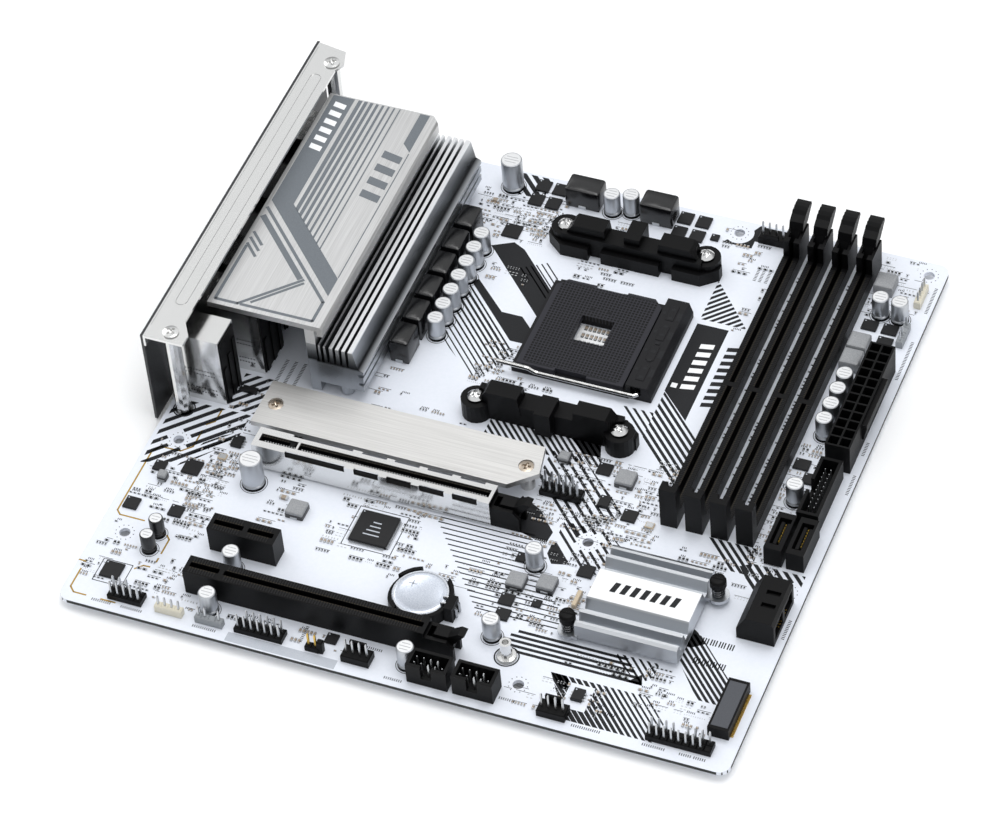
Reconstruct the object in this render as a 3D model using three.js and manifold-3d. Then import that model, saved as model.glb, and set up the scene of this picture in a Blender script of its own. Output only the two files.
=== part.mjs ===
// A micro-ATX computer motherboard, in millimetres.
// X runs from the rear connectors to the front edge, Y from the header edge to the top edge, Z up.
// Pieces are laid out from the board's rear header corner, on its top face. The last lines move
// the whole assembly so that the middle of its underside is the origin.
import * as THREE from 'three';
import { mergeVertices } from 'three/addons/utils/BufferGeometryUtils.js';
import Module from 'manifold-3d';

const wasm = await Module();
wasm.setup();

// Driving dimensions.
const BOARD = { side: 243.84, thickness: 1.57, corner: 4, holeRadius: 1.98 };
const INCH = 25.4;
const SLOT_PITCH = 0.8 * INCH;
const SHIELD = { inner: -3.2, thickness: 1, bottom: -3.8, top: 39, near: 90, far: 249 };
const COVER = { x0: 8.8, x1: 53, y0: 117, y1: 229.5, top: 33.5, bottom: 31.2, lip: 29 };
const SOCKET = { x: 133.3, y: 169.8 };
const BRACKET = { spacingX: 54, spacingY: 90, bossRadius: 5.5, bossHeight: 8 };
const BACKPLATE_DEPTH = 2.5;
const DIMM = { count: 4, x: 189.05, pitch: 9.2, width: 6.1, y0: 95.3, y1: 237, height: 6 };
const DIMM_LATCH = { y: 232.4, z: 4, towerTop: 13.4 };
const PCIE = { x: 41.8, firstY: 19.69, width: 7.5, height: 11.25, longLength: 89, shortLength: 25 };
const PCIE_LATCH = { x: 136.5, z: 3 };
const M2_PLATE = { x0: 35.6, x1: 141.6, y0: 88, y1: 108.3, bottom: 8, top: 10.2 };
const CHIPSET = { x0: 176.6, x1: 213.3, y0: 37.2, y1: 75, bottom: 2, top: 9.8 };
const POWER_PITCH = 4.2;
const GAP = 0.05;

const MOUNTING_HOLES = [
  [33.02, 237.49], [165.1, 237.49], [237.49, 237.49], [10.16, 80.01],
  [165.1, 80.01], [237.49, 80.01], [10.16, 34.29], [165.1, 13.97],
];
const PUSH_PINS = [[216.5, 69.5], [173.5, 39.5]];
const HEATSINK_SCREWS = [[58.5, 120.5], [58.5, 226]];
const SHIELD_POSTS = [[5.8, 94.4], [5.8, 239.2]];

// ---- Materials -------------------------------------------------------------------------------

function finish(color, roughness, metalness) {
  return new THREE.MeshStandardMaterial({ color, roughness, metalness });
}

const WHITE_LAMINATE = finish(0xe8ecf3, 0.5, 0);
const BRUSHED_ALUMINIUM = finish(0xc9cbcc, 0.35, 1);
const SILVER_ALUMINIUM = finish(0xb9bcc0, 0.4, 1);
const NICKEL_STEEL = finish(0xc8c8c6, 0.22, 1);
const DARK_STEEL = finish(0x4a4c50, 0.45, 1);
const BLACK_PLASTIC = finish(0x1b1b1d, 0.45, 0);
const SOCKET_PLASTIC = finish(0x3a3b40, 0.5, 0);
const COIN_STEEL = finish(0xd5d8de, 0.2, 1);

// ---- Geometry helpers ------------------------------------------------------------------------

// A box from its lowest corner to its highest.
function block(x0, x1, y0, y1, z0, z1) {
  const geometry = new THREE.BoxGeometry(x1 - x0, y1 - y0, z1 - z0);
  geometry.translate((x0 + x1) / 2, (y0 + y1) / 2, (z0 + z1) / 2);
  return geometry;
}

// An upright cylinder.
function disc(x, y, radius, z0, z1, sides = 16) {
  const geometry = new THREE.CylinderGeometry(radius, radius, z1 - z0, sides);
  geometry.rotateX(Math.PI / 2);
  geometry.translate(x, y, (z0 + z1) / 2);
  return geometry;
}

// A cylinder lying along X.
function rod(x0, x1, y, z, radius, sides = 16) {
  const geometry = new THREE.CylinderGeometry(radius, radius, x1 - x0, sides);
  geometry.rotateZ(Math.PI / 2);
  geometry.translate((x0 + x1) / 2, y, z);
  return geometry;
}

function shapeOf(outline) {
  return new THREE.Shape(outline.map(([u, v]) => new THREE.Vector2(u, v)));
}

function extrude(shape, depth, curveSegments = 6) {
  return new THREE.ExtrudeGeometry(shape, { depth, bevelEnabled: false, curveSegments });
}

// An outline in X and Y, raised from z0 to z1.
function slab(outline, z0, z1) {
  const geometry = extrude(shapeOf(outline), z1 - z0);
  geometry.translate(0, 0, z0);
  return geometry;
}

// An outline in X and Z, drawn along Y.
function alongY(outline, y0, y1) {
  const geometry = extrude(shapeOf(outline), y1 - y0);
  geometry.rotateX(Math.PI / 2);
  geometry.translate(0, y1, 0);
  return geometry;
}

// An outline in Y and Z, drawn along X.
function alongX(outline, x0, x1) {
  const geometry = extrude(shapeOf(outline), x1 - x0);
  geometry.rotateX(Math.PI / 2);
  geometry.rotateZ(Math.PI / 2);
  geometry.translate(x0, 0, 0);
  return geometry;
}

// A body turned about an upright axis, from a profile of [radius, z] that starts and ends on it.
function turned(profile, sides = 16) {
  const geometry = new THREE.LatheGeometry(profile.map(([r, z]) => new THREE.Vector2(r, z)), sides);
  geometry.rotateX(Math.PI / 2);
  return geometry;
}

// A round wire along a curve.
function wire(path, radius, steps) {
  const section = new THREE.Shape();
  section.absarc(0, 0, radius, 0, 2 * Math.PI);
  return new THREE.ExtrudeGeometry(section, { steps, extrudePath: path, curveSegments: 4 });
}

function solid(geometry) {
  const bare = geometry.clone();
  bare.deleteAttribute('normal');
  bare.deleteAttribute('uv');
  const merged = mergeVertices(bare, 1e-4);
  const vertProperties = merged.attributes.position.array;
  const triVerts = Uint32Array.from(merged.index.array);
  return new wasm.Manifold(new wasm.Mesh({ numProp: 3, vertProperties, triVerts }));
}

function geometryOf(manifold) {
  const mesh = manifold.getMesh();
  const geometry = new THREE.BufferGeometry();
  geometry.setAttribute('position', new THREE.BufferAttribute(Float32Array.from(mesh.vertProperties), 3));
  geometry.setIndex(new THREE.BufferAttribute(Uint32Array.from(mesh.triVerts), 1));
  geometry.computeVertexNormals();
  return geometry;
}

function fuse(first, ...others) {
  let body = solid(first);
  for (const other of others) body = body.add(solid(other));
  return geometryOf(body);
}

function cut(first, ...tools) {
  let body = solid(first);
  for (const tool of tools) body = body.subtract(solid(tool));
  return geometryOf(body);
}

// ---- Scene graph helpers ---------------------------------------------------------------------

const layout = new THREE.Group();

// Adds a named piece whose own origin stands at x, y, z on the board.
function place(name, geometry, material, x = 0, y = 0, z = 0) {
  const mesh = new THREE.Mesh(geometry, material);
  mesh.name = name;
  mesh.position.set(x, y, z);
  layout.add(mesh);
  return mesh;
}

// ---- Circuit board ---------------------------------------------------------------------------

function roundedSquare(side, radius) {
  const shape = new THREE.Shape();
  const far = side - radius;
  shape.absarc(radius, radius, radius, Math.PI, 1.5 * Math.PI);
  shape.absarc(far, radius, radius, 1.5 * Math.PI, 2 * Math.PI);
  shape.absarc(far, far, radius, 0, 0.5 * Math.PI);
  shape.absarc(radius, far, radius, 0.5 * Math.PI, Math.PI);
  return shape;
}

function bracketScrewPlaces() {
  const places = [];
  for (const sideY of [-1, 1]) {
    for (const sideX of [-1, 1]) {
      places.push([SOCKET.x + sideX * BRACKET.spacingX / 2, SOCKET.y + 0.2 + sideY * BRACKET.spacingY / 2]);
    }
  }
  return places;
}

function circuitBoard() {
  const shape = roundedSquare(BOARD.side, BOARD.corner);
  const drill = (places, radius) => {
    for (const [x, y] of places) {
      const hole = new THREE.Path();
      hole.absarc(x, y, radius, 0, 2 * Math.PI, true);
      shape.holes.push(hole);
    }
  };
  drill(MOUNTING_HOLES, BOARD.holeRadius);
  drill(bracketScrewPlaces(), 2.2);
  drill(PUSH_PINS, 1.7);
  drill(HEATSINK_SCREWS, 1.6);
  const geometry = extrude(shape, BOARD.thickness, 8);
  geometry.translate(0, 0, -BOARD.thickness);
  place('circuit_board', geometry, WHITE_LAMINATE);
}

// ---- Rear connectors and their shield --------------------------------------------------------

// A port's mouth: width along Y, height, and depth behind the face.
const PORTS = {
  usb: { width: 13.1, height: 5.6, depth: 9, tongue: { width: 11.4, height: 1.9, rise: 1.1 } },
  video: { width: 15.2, height: 5, depth: 8, tongue: { width: 11.6, height: 1.6, rise: 0 } },
  lan: { width: 12.2, height: 8.6, depth: 12 },
  keyboard: { round: true, radius: 6.2, depth: 7 },
  audio: { round: true, radius: 2.6, depth: 12 },
};

// Each stack's ports are listed from the board up: [kind, height of the port's centre].
const REAR_STACKS = [
  { name: 'audio_jack_stack', y: 106.8, width: 12.6, depth: 23, height: 31.5,
    ports: [['audio', 5.6], ['audio', 15.8], ['audio', 26]] },
  { name: 'usb_lan_stack', y: 127, width: 16.4, depth: 30, height: 29.6,
    ports: [['usb', 4.4], ['usb', 12.2], ['lan', 22.4]] },
  { name: 'usb_stack_lower', y: 148, width: 15.2, depth: 28, height: 28.4,
    ports: [['usb', 4.4], ['usb', 14.2], ['usb', 24]] },
  { name: 'usb_stack_upper', y: 169, width: 15.2, depth: 28, height: 18.4,
    ports: [['usb', 4.4], ['usb', 14.2]] },
  { name: 'video_port_stack', y: 191, width: 18.4, depth: 26, height: 22,
    ports: [['video', 5.2], ['video', 15.6]] },
  { name: 'keyboard_usb_stack', y: 215, width: 15.6, depth: 26, height: 29.4,
    ports: [['usb', 4.4], ['usb', 12], ['keyboard', 22.2]] },
];

// A port's mouth as a solid, from x0 to x1, made larger all round by the clearance.
function portMouth([kind, z], y, x0, x1, clearance) {
  const port = PORTS[kind];
  if (port.round) return rod(x0, x1, y, z, port.radius + clearance);
  const halfWidth = port.width / 2 + clearance;
  const halfHeight = port.height / 2 + clearance;
  return block(x0, x1, y - halfWidth, y + halfWidth, z - halfHeight, z + halfHeight);
}

function rearStack({ name, y, width, depth, height, ports }) {
  const face = SHIELD.inner + GAP;
  const embed = 1;
  const shell = block(0, depth, -width / 2, width / 2, 0, height);
  const mouths = ports.map((port) => portMouth(port, 0, -1, PORTS[port[0]].depth, 0));
  let geometry = cut(shell, ...mouths);
  for (const [kind, z] of ports) {
    const { tongue, depth: mouthDepth } = PORTS[kind];
    if (!tongue) continue;
    const low = z + tongue.rise - tongue.height / 2;
    const half = tongue.width / 2;
    geometry = fuse(geometry, block(1, mouthDepth + embed, -half, half, low, low + tongue.height));
  }
  place(name, geometry, NICKEL_STEEL, face, y, 0);
}

function shieldPlate() {
  const outer = SHIELD.inner - SHIELD.thickness;
  const sheet = block(outer, SHIELD.inner, SHIELD.near, SHIELD.far, SHIELD.bottom, SHIELD.top);
  const windows = REAR_STACKS.flatMap(({ y, ports }) => (
    ports.map((port) => portMouth(port, y, outer - 1, SHIELD.inner + 1, 0.4))
  ));
  place('rear_shield_plate', cut(sheet, ...windows), DARK_STEEL);
}

// The bright strip over the connectors. It widens at its near end, to meet the post under it.
function shieldBracket() {
  const edge = SHIELD.inner;
  const strip = slab([
    [edge, SHIELD.near], [12.2, SHIELD.near], [12.2, SHIELD.near + 5], [8.4, SHIELD.near + 11],
    [8.4, 236], [10.4, 240], [8.4, SHIELD.far - 2.5], [edge, SHIELD.far - 0.5],
  ], SHIELD.top - 1, SHIELD.top);
  const lip = block(edge, edge + 0.8, SHIELD.near, SHIELD.far - 0.5, SHIELD.top - 5, SHIELD.top - 0.5);
  const holes = SHIELD_POSTS.map(([x, y]) => disc(x, y, 1.7, SHIELD.top - 2, SHIELD.top + 1, 12));
  place('shield_bracket', cut(fuse(strip, lip), ...holes), NICKEL_STEEL);
}

function shieldPosts() {
  const top = SHIELD.top - 1 - GAP;
  SHIELD_POSTS.forEach(([x, y], i) => {
    const post = cut(disc(0, 0, 2.8, 0, top, 12), disc(0, 0, 1.6, top - 8, top + 1, 12));
    place(`shield_post_${i + 1}`, post, NICKEL_STEEL, x, y, 0);
    const screw = turned([[0, -7], [1.4, -7], [1.4, 0.1], [2.9, 0.1], [2.9, 0.7], [1.6, 1.1], [0, 1.1]], 12);
    place(`shield_screw_${i + 1}`, screw, NICKEL_STEEL, x, y, SHIELD.top);
  });
}

// ---- Voltage regulator heatsink --------------------------------------------------------------

// The finned block's right half of the section: tall fins on top, then stepped flanges below.
function finnedSection() {
  const bottom = 5.5;
  const finTop = 24.3;
  const valley = 16.2;
  const outline = [[49.4, bottom], [66.7, bottom], [66.7, 8.2], [65, 8.4], [65, 9.6], [66.9, 9.8],
    [66.9, 12.4],
    [65, 12.6], [65, 13.8], [67.2, 14], [67.2, 15.4], [65.2, 16.4]];
  const fins = [[62, 63.7], [59.6, 60.9], [57.2, 58.5], [54.8, 56.1], [52.6, 53.3], [50.6, 51.3]];
  for (const [left, right] of fins) {
    outline.push([right, finTop], [left, finTop], [left - 0.1, valley]);
    if (left > 51) outline.push([left - 1, valley]);
  }
  outline.push([49.4, valley]);
  return outline;
}

function regulatorHeatsink() {
  const near = COVER.y0;
  const far = COVER.y1 + 0.5;
  const fins = alongY(finnedSection(), near, far);
  const riser = block(45.8, 49.6, near + 0.4, far, 0.4, COVER.bottom - GAP);
  const contact = block(51, 65.6, near + 12, far - 8, 2.2, 6);
  const shelf = block(14, 46, near + 14, far - 6, COVER.bottom - 1.2, COVER.bottom - GAP);
  const feet = HEATSINK_SCREWS.map(([x, y]) => disc(x, y, 2.6, 0.4, 6, 12));
  const bores = HEATSINK_SCREWS.map(([x, y]) => disc(x, y, 1.3, 0, 5, 10));
  place('regulator_heatsink', cut(fuse(fins, riser, contact, shelf, ...feet), ...bores), SILVER_ALUMINIUM);
  HEATSINK_SCREWS.forEach(([x, y], i) => {
    const low = -BOARD.thickness - BACKPLATE_DEPTH;
    const under = -BOARD.thickness;
    const screw = turned([[0, low], [2.6, low], [2.6, under], [1.2, under], [1.2, 4.5], [0, 4.5]], 12);
    place(`heatsink_screw_${i + 1}`, screw, NICKEL_STEEL, x, y, 0);
  });
}

function regulatorCover() {
  const { x0, x1, y0, y1, top, bottom, lip } = COVER;
  const bend = 0.8;
  const fold = x1 - 2.2;
  const section = [
    [x0, bottom], [fold, bottom], [fold, lip], [x1, lip], [x1, top - bend], [x1 - bend, top], [x0, top],
  ];
  const cornerCut = slab([[x1 - 4, y1 + 1], [x1 + 1, y1 - 4], [x1 + 1, y1 + 1]], lip - 1, top + 1);
  place('regulator_cover', cut(alongY(section, y0, y1), cornerCut), BRUSHED_ALUMINIUM);
}

// ---- Processor socket ------------------------------------------------------------------------

const CAM = { x0: 154, x1: 163.4, y0: 147.7, y1: 192.2, top: 6.8, axisX: 158.4, axisZ: 3.5 };

function socketBase() {
  const plate = block(110.5, CAM.x0 + 1, 147.4, 192, 0, 3);
  const cam = alongY([
    [CAM.x0, 0], [CAM.x1, 0], [CAM.x1, 2.4], [CAM.x1 - 1.4, CAM.top], [CAM.x0, CAM.top],
  ], CAM.y0, CAM.y1);
  const window = block(126, 140, 163, 177, -1, 4);
  const room = 1.2;
  const swing = 2.8;
  const right = CAM.axisX + room;
  const floor = CAM.axisZ - room;
  const shaftBore = block(CAM.axisX - room, right, CAM.y0 - 1, 190.5, floor, CAM.axisZ + room);
  const mouth = block(CAM.axisX - swing, right, CAM.y0 - 1, CAM.y0 + 1.8, floor, CAM.axisZ + swing);
  place('cpu_socket_base', cut(fuse(plate, cam), window, shaftBore, mouth), SOCKET_PLASTIC);
}

function socketCover() {
  const corner = 3.5;
  const [x0, x1, y0, y1] = [112.5, 152.9, 147.6, 191.6];
  const plate = slab([
    [x0, y0], [x1, y0], [x1, y1 - corner], [x1 - corner, y1], [x0 + corner, y1], [x0, y1 - corner],
  ], 3 + GAP, 5.3);
  const window = block(127, 139.4, 164, 176.2, 2, 6);
  const nearNotch = block(127, 139, y0 - 1, y0 + 1.2, 2, 6);
  const farNotch = block(127, 139, y1 - 1, y1 + 1, 2, 6);
  place('cpu_socket_cover', cut(plate, window, nearNotch, farNotch), SOCKET_PLASTIC);
}

// The lever is one bent wire: a shaft in the cam box, an arm beside the socket, a raised handle.
function socketLever() {
  const armY = 146.2;
  const bend = 1.2;
  const path = new THREE.CurvePath();
  const point = (x, y, rise = 0) => new THREE.Vector3(x - CAM.axisX, y, rise);
  const corner = point(CAM.axisX, armY);
  const stops = [point(CAM.axisX, 189.8), point(CAM.axisX, armY + bend), point(CAM.axisX - bend, armY),
    point(120.4, armY), point(117.6, armY, 1.3), point(105.6, armY, 1.5)];
  path.add(new THREE.LineCurve3(stops[0], stops[1]));
  path.add(new THREE.QuadraticBezierCurve3(stops[1], corner, stops[2]));
  path.add(new THREE.LineCurve3(stops[2], stops[3]));
  path.add(new THREE.LineCurve3(stops[3], stops[4]));
  path.add(new THREE.LineCurve3(stops[4], stops[5]));
  place('cpu_socket_lever', wire(path, 0.85, 72), NICKEL_STEEL, CAM.axisX, 0, CAM.axisZ);
}

// One cooler bracket about the middle of its two screws, with its bar towards +Y.
function coolerBracket() {
  const reach = BRACKET.spacingX / 2;
  const { bossRadius, bossHeight } = BRACKET;
  const bosses = [-reach, reach].map((x) => disc(x, 0, bossRadius, 0, bossHeight, 20));
  const flangeSide = [[27, 7.9], [33, 3], [33, 0]];
  const flange = slab([...flangeSide, ...flangeSide.map(([x, y]) => [-x, y]).reverse()], 0, 5.6);
  const notches = [-1, 1].map((side) => block(side * 13.7 - 2.5, side * 13.7 + 2.5, 5.2, 9, -1, 7));
  const bar = block(-reach, reach, -1.6, 6, 0, 9.5);
  const shoulder = (side) => alongY([
    [side * 9.5, 5], [side * 25, 5], [side * 25, 10], [side * 22.5, 13.5], [side * 10.5, 13.5],
  ], -1.8, 4.8);
  const hook = block(-3, 3, -5.4, 4.4, 2, 12.6);
  const bores = [-reach, reach].map((x) => disc(x, 0, 1.9, -1, 15, 12));
  const counterbores = [-reach, reach].map((x) => disc(x, 0, 3.5, bossHeight - 0.2, 15, 16));
  const body = fuse(bar, shoulder(1), shoulder(-1), hook, flange, ...bosses);
  return cut(body, ...notches, ...bores, ...counterbores);
}

function coolerMount() {
  const middle = SOCKET.y + 0.2;
  const halfSpacing = BRACKET.spacingY / 2;
  place('cooler_bracket_lower', coolerBracket(), BLACK_PLASTIC, SOCKET.x, middle - halfSpacing, 0);
  const upper = place('cooler_bracket_upper', coolerBracket(),
    BLACK_PLASTIC, SOCKET.x, middle + halfSpacing, 0);
  upper.rotation.z = Math.PI;
  const seat = BRACKET.bossHeight - 0.2 + GAP;
  bracketScrewPlaces().forEach(([x, y], i) => {
    const screw = turned([
      [0, -2.6], [1.6, -2.6], [1.6, seat], [3.2, seat], [3.1, seat + 1.2], [2.2, seat + 2.2],
      [0, seat + 2.5],
    ], 14);
    place(`bracket_screw_${i + 1}`, screw, NICKEL_STEEL, x, y, 0);
  });
  const top = -BOARD.thickness;
  const low = top - BACKPLATE_DEPTH;
  const plate = block(-33, 33, -51, 51, low, top);
  const window = block(-19, 19, -21, 21, low - 1, top + 1);
  const bores = bracketScrewPlaces().map(([x, y]) => disc(x - SOCKET.x, y - middle, 1.9, low - 1,
    top + 1, 12));
  place('cpu_backplate', cut(plate, window, ...bores), DARK_STEEL, SOCKET.x, middle, 0);
}

// ---- Memory slots ----------------------------------------------------------------------------

// One slot about its centre line. Its near tower is solid; its far tower is two cheeks for the latch.
function memorySlot() {
  const { width, y0, y1, height } = DIMM;
  const half = width / 2;
  const towerDepth = 4.2;
  const grooveHalf = 0.85;
  const latchHalf = 1.95;
  const cheekStart = 226;
  const body = block(-half, half, y0, y1, 0, height);
  const nearTower = block(-half, half, y0, y0 + towerDepth, height - 1, 18.4);
  const cheeks = block(-half, half, cheekStart, y1, height - 1, DIMM_LATCH.towerTop);
  const keyY = 160;
  const grooves = [[y0 + 2.6, keyY - 1], [keyY + 1, cheekStart + 1]].map(([a, b]) => (
    block(-grooveHalf, grooveHalf, a, b, 1.4, height + 1)
  ));
  const towerGroove = block(-grooveHalf, grooveHalf, y0 + 2.6, y0 + towerDepth + 1, 1.4, 19.4);
  const latchWell = block(-latchHalf, latchHalf, cheekStart + 2.4, y1 + 1, 0.8, DIMM_LATCH.towerTop + 1);
  const moduleWay = block(-grooveHalf, grooveHalf, cheekStart - 1, cheekStart + 3, 1.4,
    DIMM_LATCH.towerTop + 1);
  return cut(fuse(body, nearTower, cheeks), ...grooves, towerGroove, latchWell, moduleWay);
}

// One latch about its pivot: a narrow stem between the cheeks, and a wide ridged head above them.
function memoryLatch() {
  const stemHalf = 1.7;
  const headHalf = 2.65;
  const rise = DIMM_LATCH.towerTop - DIMM_LATCH.z;
  const stem = alongX([
    [-1.6, -2.6], [1.6, -2.6], [2.6, 0], [2.8, rise - 1], [4, rise + 1.7], [-0.4, rise + 1.7],
    [-3, rise - 4], [-2.6, 0],
  ], -stemHalf, stemHalf);
  const low = rise + 1.2;
  const head = alongX([
    [-1, low], [4.6, low], [9.6, low + 4.2], [9.2, low + 5.6], [7.8, low + 5.2], [7.4, low + 5.9],
    [6, low + 5.2],
    [5.6, low + 5.9], [4.2, low + 5], [3.8, low + 5.5], [2.6, low + 4.4], [0, low + 3],
  ], -headHalf, headHalf);
  return fuse(stem, head);
}

function memory() {
  for (let i = 0; i < DIMM.count; i += 1) {
    const x = DIMM.x + i * DIMM.pitch;
    place(`memory_slot_${i + 1}`, memorySlot(), BLACK_PLASTIC, x, 0, 0);
    place(`memory_latch_${i + 1}`, memoryLatch(), BLACK_PLASTIC, x, DIMM_LATCH.y, DIMM_LATCH.z);
  }
}

// ---- Expansion slots -------------------------------------------------------------------------

const slotY = (row) => PCIE.firstY + row * SLOT_PITCH;

// One card slot from its left end, about its centre line. A long slot ends in two cheeks for its latch.
function cardSlot(length, hasLatch) {
  const half = PCIE.width / 2;
  const grooveHalf = 1;
  const floor = 3;
  const keyX = 13.2;
  const cheekEnd = length + 10.4;
  const body = block(0, length, -half, half, 0, PCIE.height);
  const grooves = [[1.4, keyX - 0.9], [keyX + 0.9, length - 1.4]].map(([a, b]) => (
    block(a, b, -grooveHalf, grooveHalf, floor, PCIE.height + 1)
  ));
  if (!hasLatch) return cut(body, ...grooves);
  const cheeks = alongY([
    [length - 1, 0], [cheekEnd, 0], [cheekEnd, 6.4], [cheekEnd - 2.4, 9.2], [length - 1, 9.2],
  ], -half, half);
  const latchWell = block(length + 0.6, cheekEnd + 1, -2.3, 2.3, -1, 12);
  return cut(fuse(body, cheeks), ...grooves, latchWell);
}

// One slot latch about its pivot: a hook between the cheeks and a thumb tab reaching up and out.
function cardLatch() {
  return alongY([
    [-3.9, -1], [0, -1.8], [3.6, 0.4], [4.4, 4.6], [8.6, 9.8], [6.4, 10.2], [2.4, 7.4], [-2.6, 7.4],
    [-3.9, 5.2],
  ], -2, 2);
}

// The bright steel sleeve of the upper long slot: two walls, folded lips on top, five notches a side.
function slotSleeve() {
  const inner = PCIE.width / 2 + 0.1;
  const outer = inner + 0.6;
  const [x0, x1] = [-0.7, PCIE.longLength - 0.1];
  const top = PCIE.height + 0.7;
  const bottom = 0.8;
  const sleeve = block(x0, x1, -outer, outer, bottom, top);
  const hollow = block(x0 + 0.6, x1 + 1, -inner, inner, bottom - 1, PCIE.height + 0.1);
  const mouth = block(1.2, x1 - 1.2, -1.7, 1.7, PCIE.height - 1, top + 1);
  const notch = { long: 22.5, short: 9.2, pitch: 12.3, depth: 2.3, reach: 0.9 };
  const notches = [];
  for (let i = 0; i < 5; i += 1) {
    const start = i === 0 ? 12.2 : 38.3 + (i - 1) * notch.pitch;
    const end = start + (i === 0 ? notch.long : notch.short);
    for (const side of [-1, 1]) {
      const [near, far] = [side * (outer - notch.reach), side * (outer + 1)];
      notches.push(block(start, end, Math.min(near, far), Math.max(near, far), top - notch.depth, top + 1));
    }
  }
  const keep = block(0, x1 - 0.6, -inner + 0.5, inner - 0.5, PCIE.height + 0.1, top);
  return fuse(cut(sleeve, hollow, mouth, ...notches), cut(keep, mouth));
}

function expansionSlots() {
  const rows = [
    { name: 'card_slot_lower', y: slotY(0), length: PCIE.longLength, latch: 'card_latch_lower' },
    { name: 'card_slot_short', y: slotY(1), length: PCIE.shortLength },
    { name: 'card_slot_upper', y: slotY(3), length: PCIE.longLength, latch: 'card_latch_upper' },
  ];
  for (const { name, y, length, latch } of rows) {
    place(name, cardSlot(length, Boolean(latch)), BLACK_PLASTIC, PCIE.x, y, 0);
    if (latch) place(latch, cardLatch(), BLACK_PLASTIC, PCIE_LATCH.x, y, PCIE_LATCH.z);
  }
  place('card_slot_sleeve', slotSleeve(), NICKEL_STEEL, PCIE.x, slotY(3), 0);
}

// ---- Storage card sockets --------------------------------------------------------------------

// A storage card socket about the middle of its back edge, with its mouth towards +X.
function storageSocket() {
  const body = block(0, 7.4, -11, 11, 0, 4.6);
  const mouth = block(2.6, 8.4, -10, 10, 1.7, 3.3);
  return cut(body, mouth);
}

function storage() {
  const { x0, x1, y0, y1, bottom, top } = M2_PLATE;
  const middle = (y0 + y1) / 2;
  const corner = [9, 8];
  const plate = slab([
    [x0, y0], [x1 - corner[0], y0], [x1, y0 + corner[1]], [x1 - 2.4, y1], [x0, y1],
  ], bottom, top);
  const screwPlaces = [[x0 + 5.4, middle], [x1 - 5.6, middle]];
  const legs = screwPlaces.map(([x, y]) => disc(x, y, 2.6, 0, bottom + 1, 12));
  const bores = screwPlaces.map(([x, y]) => disc(x, y, 1.5, 3, top + 1, 12));
  const countersinks = screwPlaces.map(([x, y]) => disc(x, y, 2.9, top - 0.7, top + 1, 16));
  place('storage_heatsink_plate', cut(fuse(plate, ...legs), ...bores, ...countersinks), BRUSHED_ALUMINIUM);
  screwPlaces.forEach(([x, y], i) => {
    const screw = turned([[0, -6], [1.3, -6], [1.3, -0.65], [2.7, -0.65], [2.7, 0.1], [0, 0.1]], 14);
    place(`storage_screw_${i + 1}`, screw, NICKEL_STEEL, x, y, top);
  });
  place('storage_socket_upper', storageSocket(), BLACK_PLASTIC, x0 + 9.4, middle, 0);
  const lower = place('storage_socket_lower', storageSocket(), BLACK_PLASTIC, 239.6, 24.6, 0);
  lower.rotation.z = Math.PI;
  const collar = turned([[0, 0], [3.4, 0], [3.4, 1], [2.1, 1.2], [2.1, 7.6], [1.2, 7.6], [1.2, 4],
    [0, 4]], 14);
  place('storage_standoff', collar, NICKEL_STEEL, 157, 24, 0);
}

// ---- Chipset heatsink ------------------------------------------------------------------------

// The section has a flat block in the middle, with a fin and an outer wall on each side of it.
function chipsetHeatsink() {
  const { x0, x1, y0, y1, bottom, top } = CHIPSET;
  const middle = (y0 + y1) / 2;
  const half = (y1 - y0) / 2;
  const valley = 5.6;
  const side = [[half, bottom], [half, top - 1.2], [half - 1.2, top - 0.6], [half - 2.2, top - 0.6],
    [half - 3.4, valley],
    [half - 4.6, valley], [half - 5.4, top], [half - 6.8, top], [half - 8.2, valley], [half - 10.4, valley],
    [half - 12, top - 0.4], [half - 12.4, top + 0.1]];
  const mirrored = side.map(([v, z]) => [-v, z]).reverse();
  const body = alongX([...side, ...mirrored].map(([v, z]) => [v + middle, z]), x0, x1);
  const ears = PUSH_PINS.map(([x, y]) => disc(x, y, 3.8, bottom, bottom + 1.4, 16));
  const arms = PUSH_PINS.map(([x, y]) => {
    const inward = x > (x0 + x1) / 2 ? x1 - 1 : x0 + 1;
    return block(Math.min(x, inward), Math.max(x, inward), y - 3, y + 3, bottom, bottom + 1.4);
  });
  const bores = PUSH_PINS.map(([x, y]) => disc(x, y, 1.7, bottom - 1, bottom + 3, 12));
  place('chipset_heatsink', cut(fuse(body, ...ears, ...arms), ...bores), SILVER_ALUMINIUM);
  const tip = -BOARD.thickness - BACKPLATE_DEPTH;
  PUSH_PINS.forEach(([x, y], i) => {
    const pin = turned([[0, tip], [1, tip], [1.5, tip + 1.2], [1.5, 8], [2.9, 8], [2.9, 10.4],
      [2, 11.2], [0, 11.4]], 14);
    place(`chipset_push_pin_${i + 1}`, pin, BLACK_PLASTIC, x, y, 0);
  });
}

// ---- Battery ---------------------------------------------------------------------------------

function battery() {
  const [x, y] = [120.7, 37.3];
  const radius = 10;
  const ring = cut(disc(0, 0, radius + 1.5, 0, 5.2, 32), disc(0, 0, radius + 0.2, 1.8, 6, 32));
  const openings = [block(-3.5, 7, 7, 13, 1.8, 6), block(-14, -4, -6, 5, 3.2, 6),
    block(-6, 4, -13, -7, 1.8, 6)];
  const clip = block(radius + 0.5, radius + 3.6, -5.4, 1, 0, 6.8);
  place('battery_holder', fuse(cut(ring, ...openings), clip), BLACK_PLASTIC, x, y, 0);
  const rim = radius - 0.8;
  const cell = turned(
    [[0, 0], [radius - 1.2, 0], [rim, 0.5], [radius, 0.8], [radius, 2.9], [radius - 0.3, 3.2],
    [0, 3.2]], 32);
  place('coin_cell', cell, COIN_STEEL, x, y, 1.8 + GAP);
}

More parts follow.
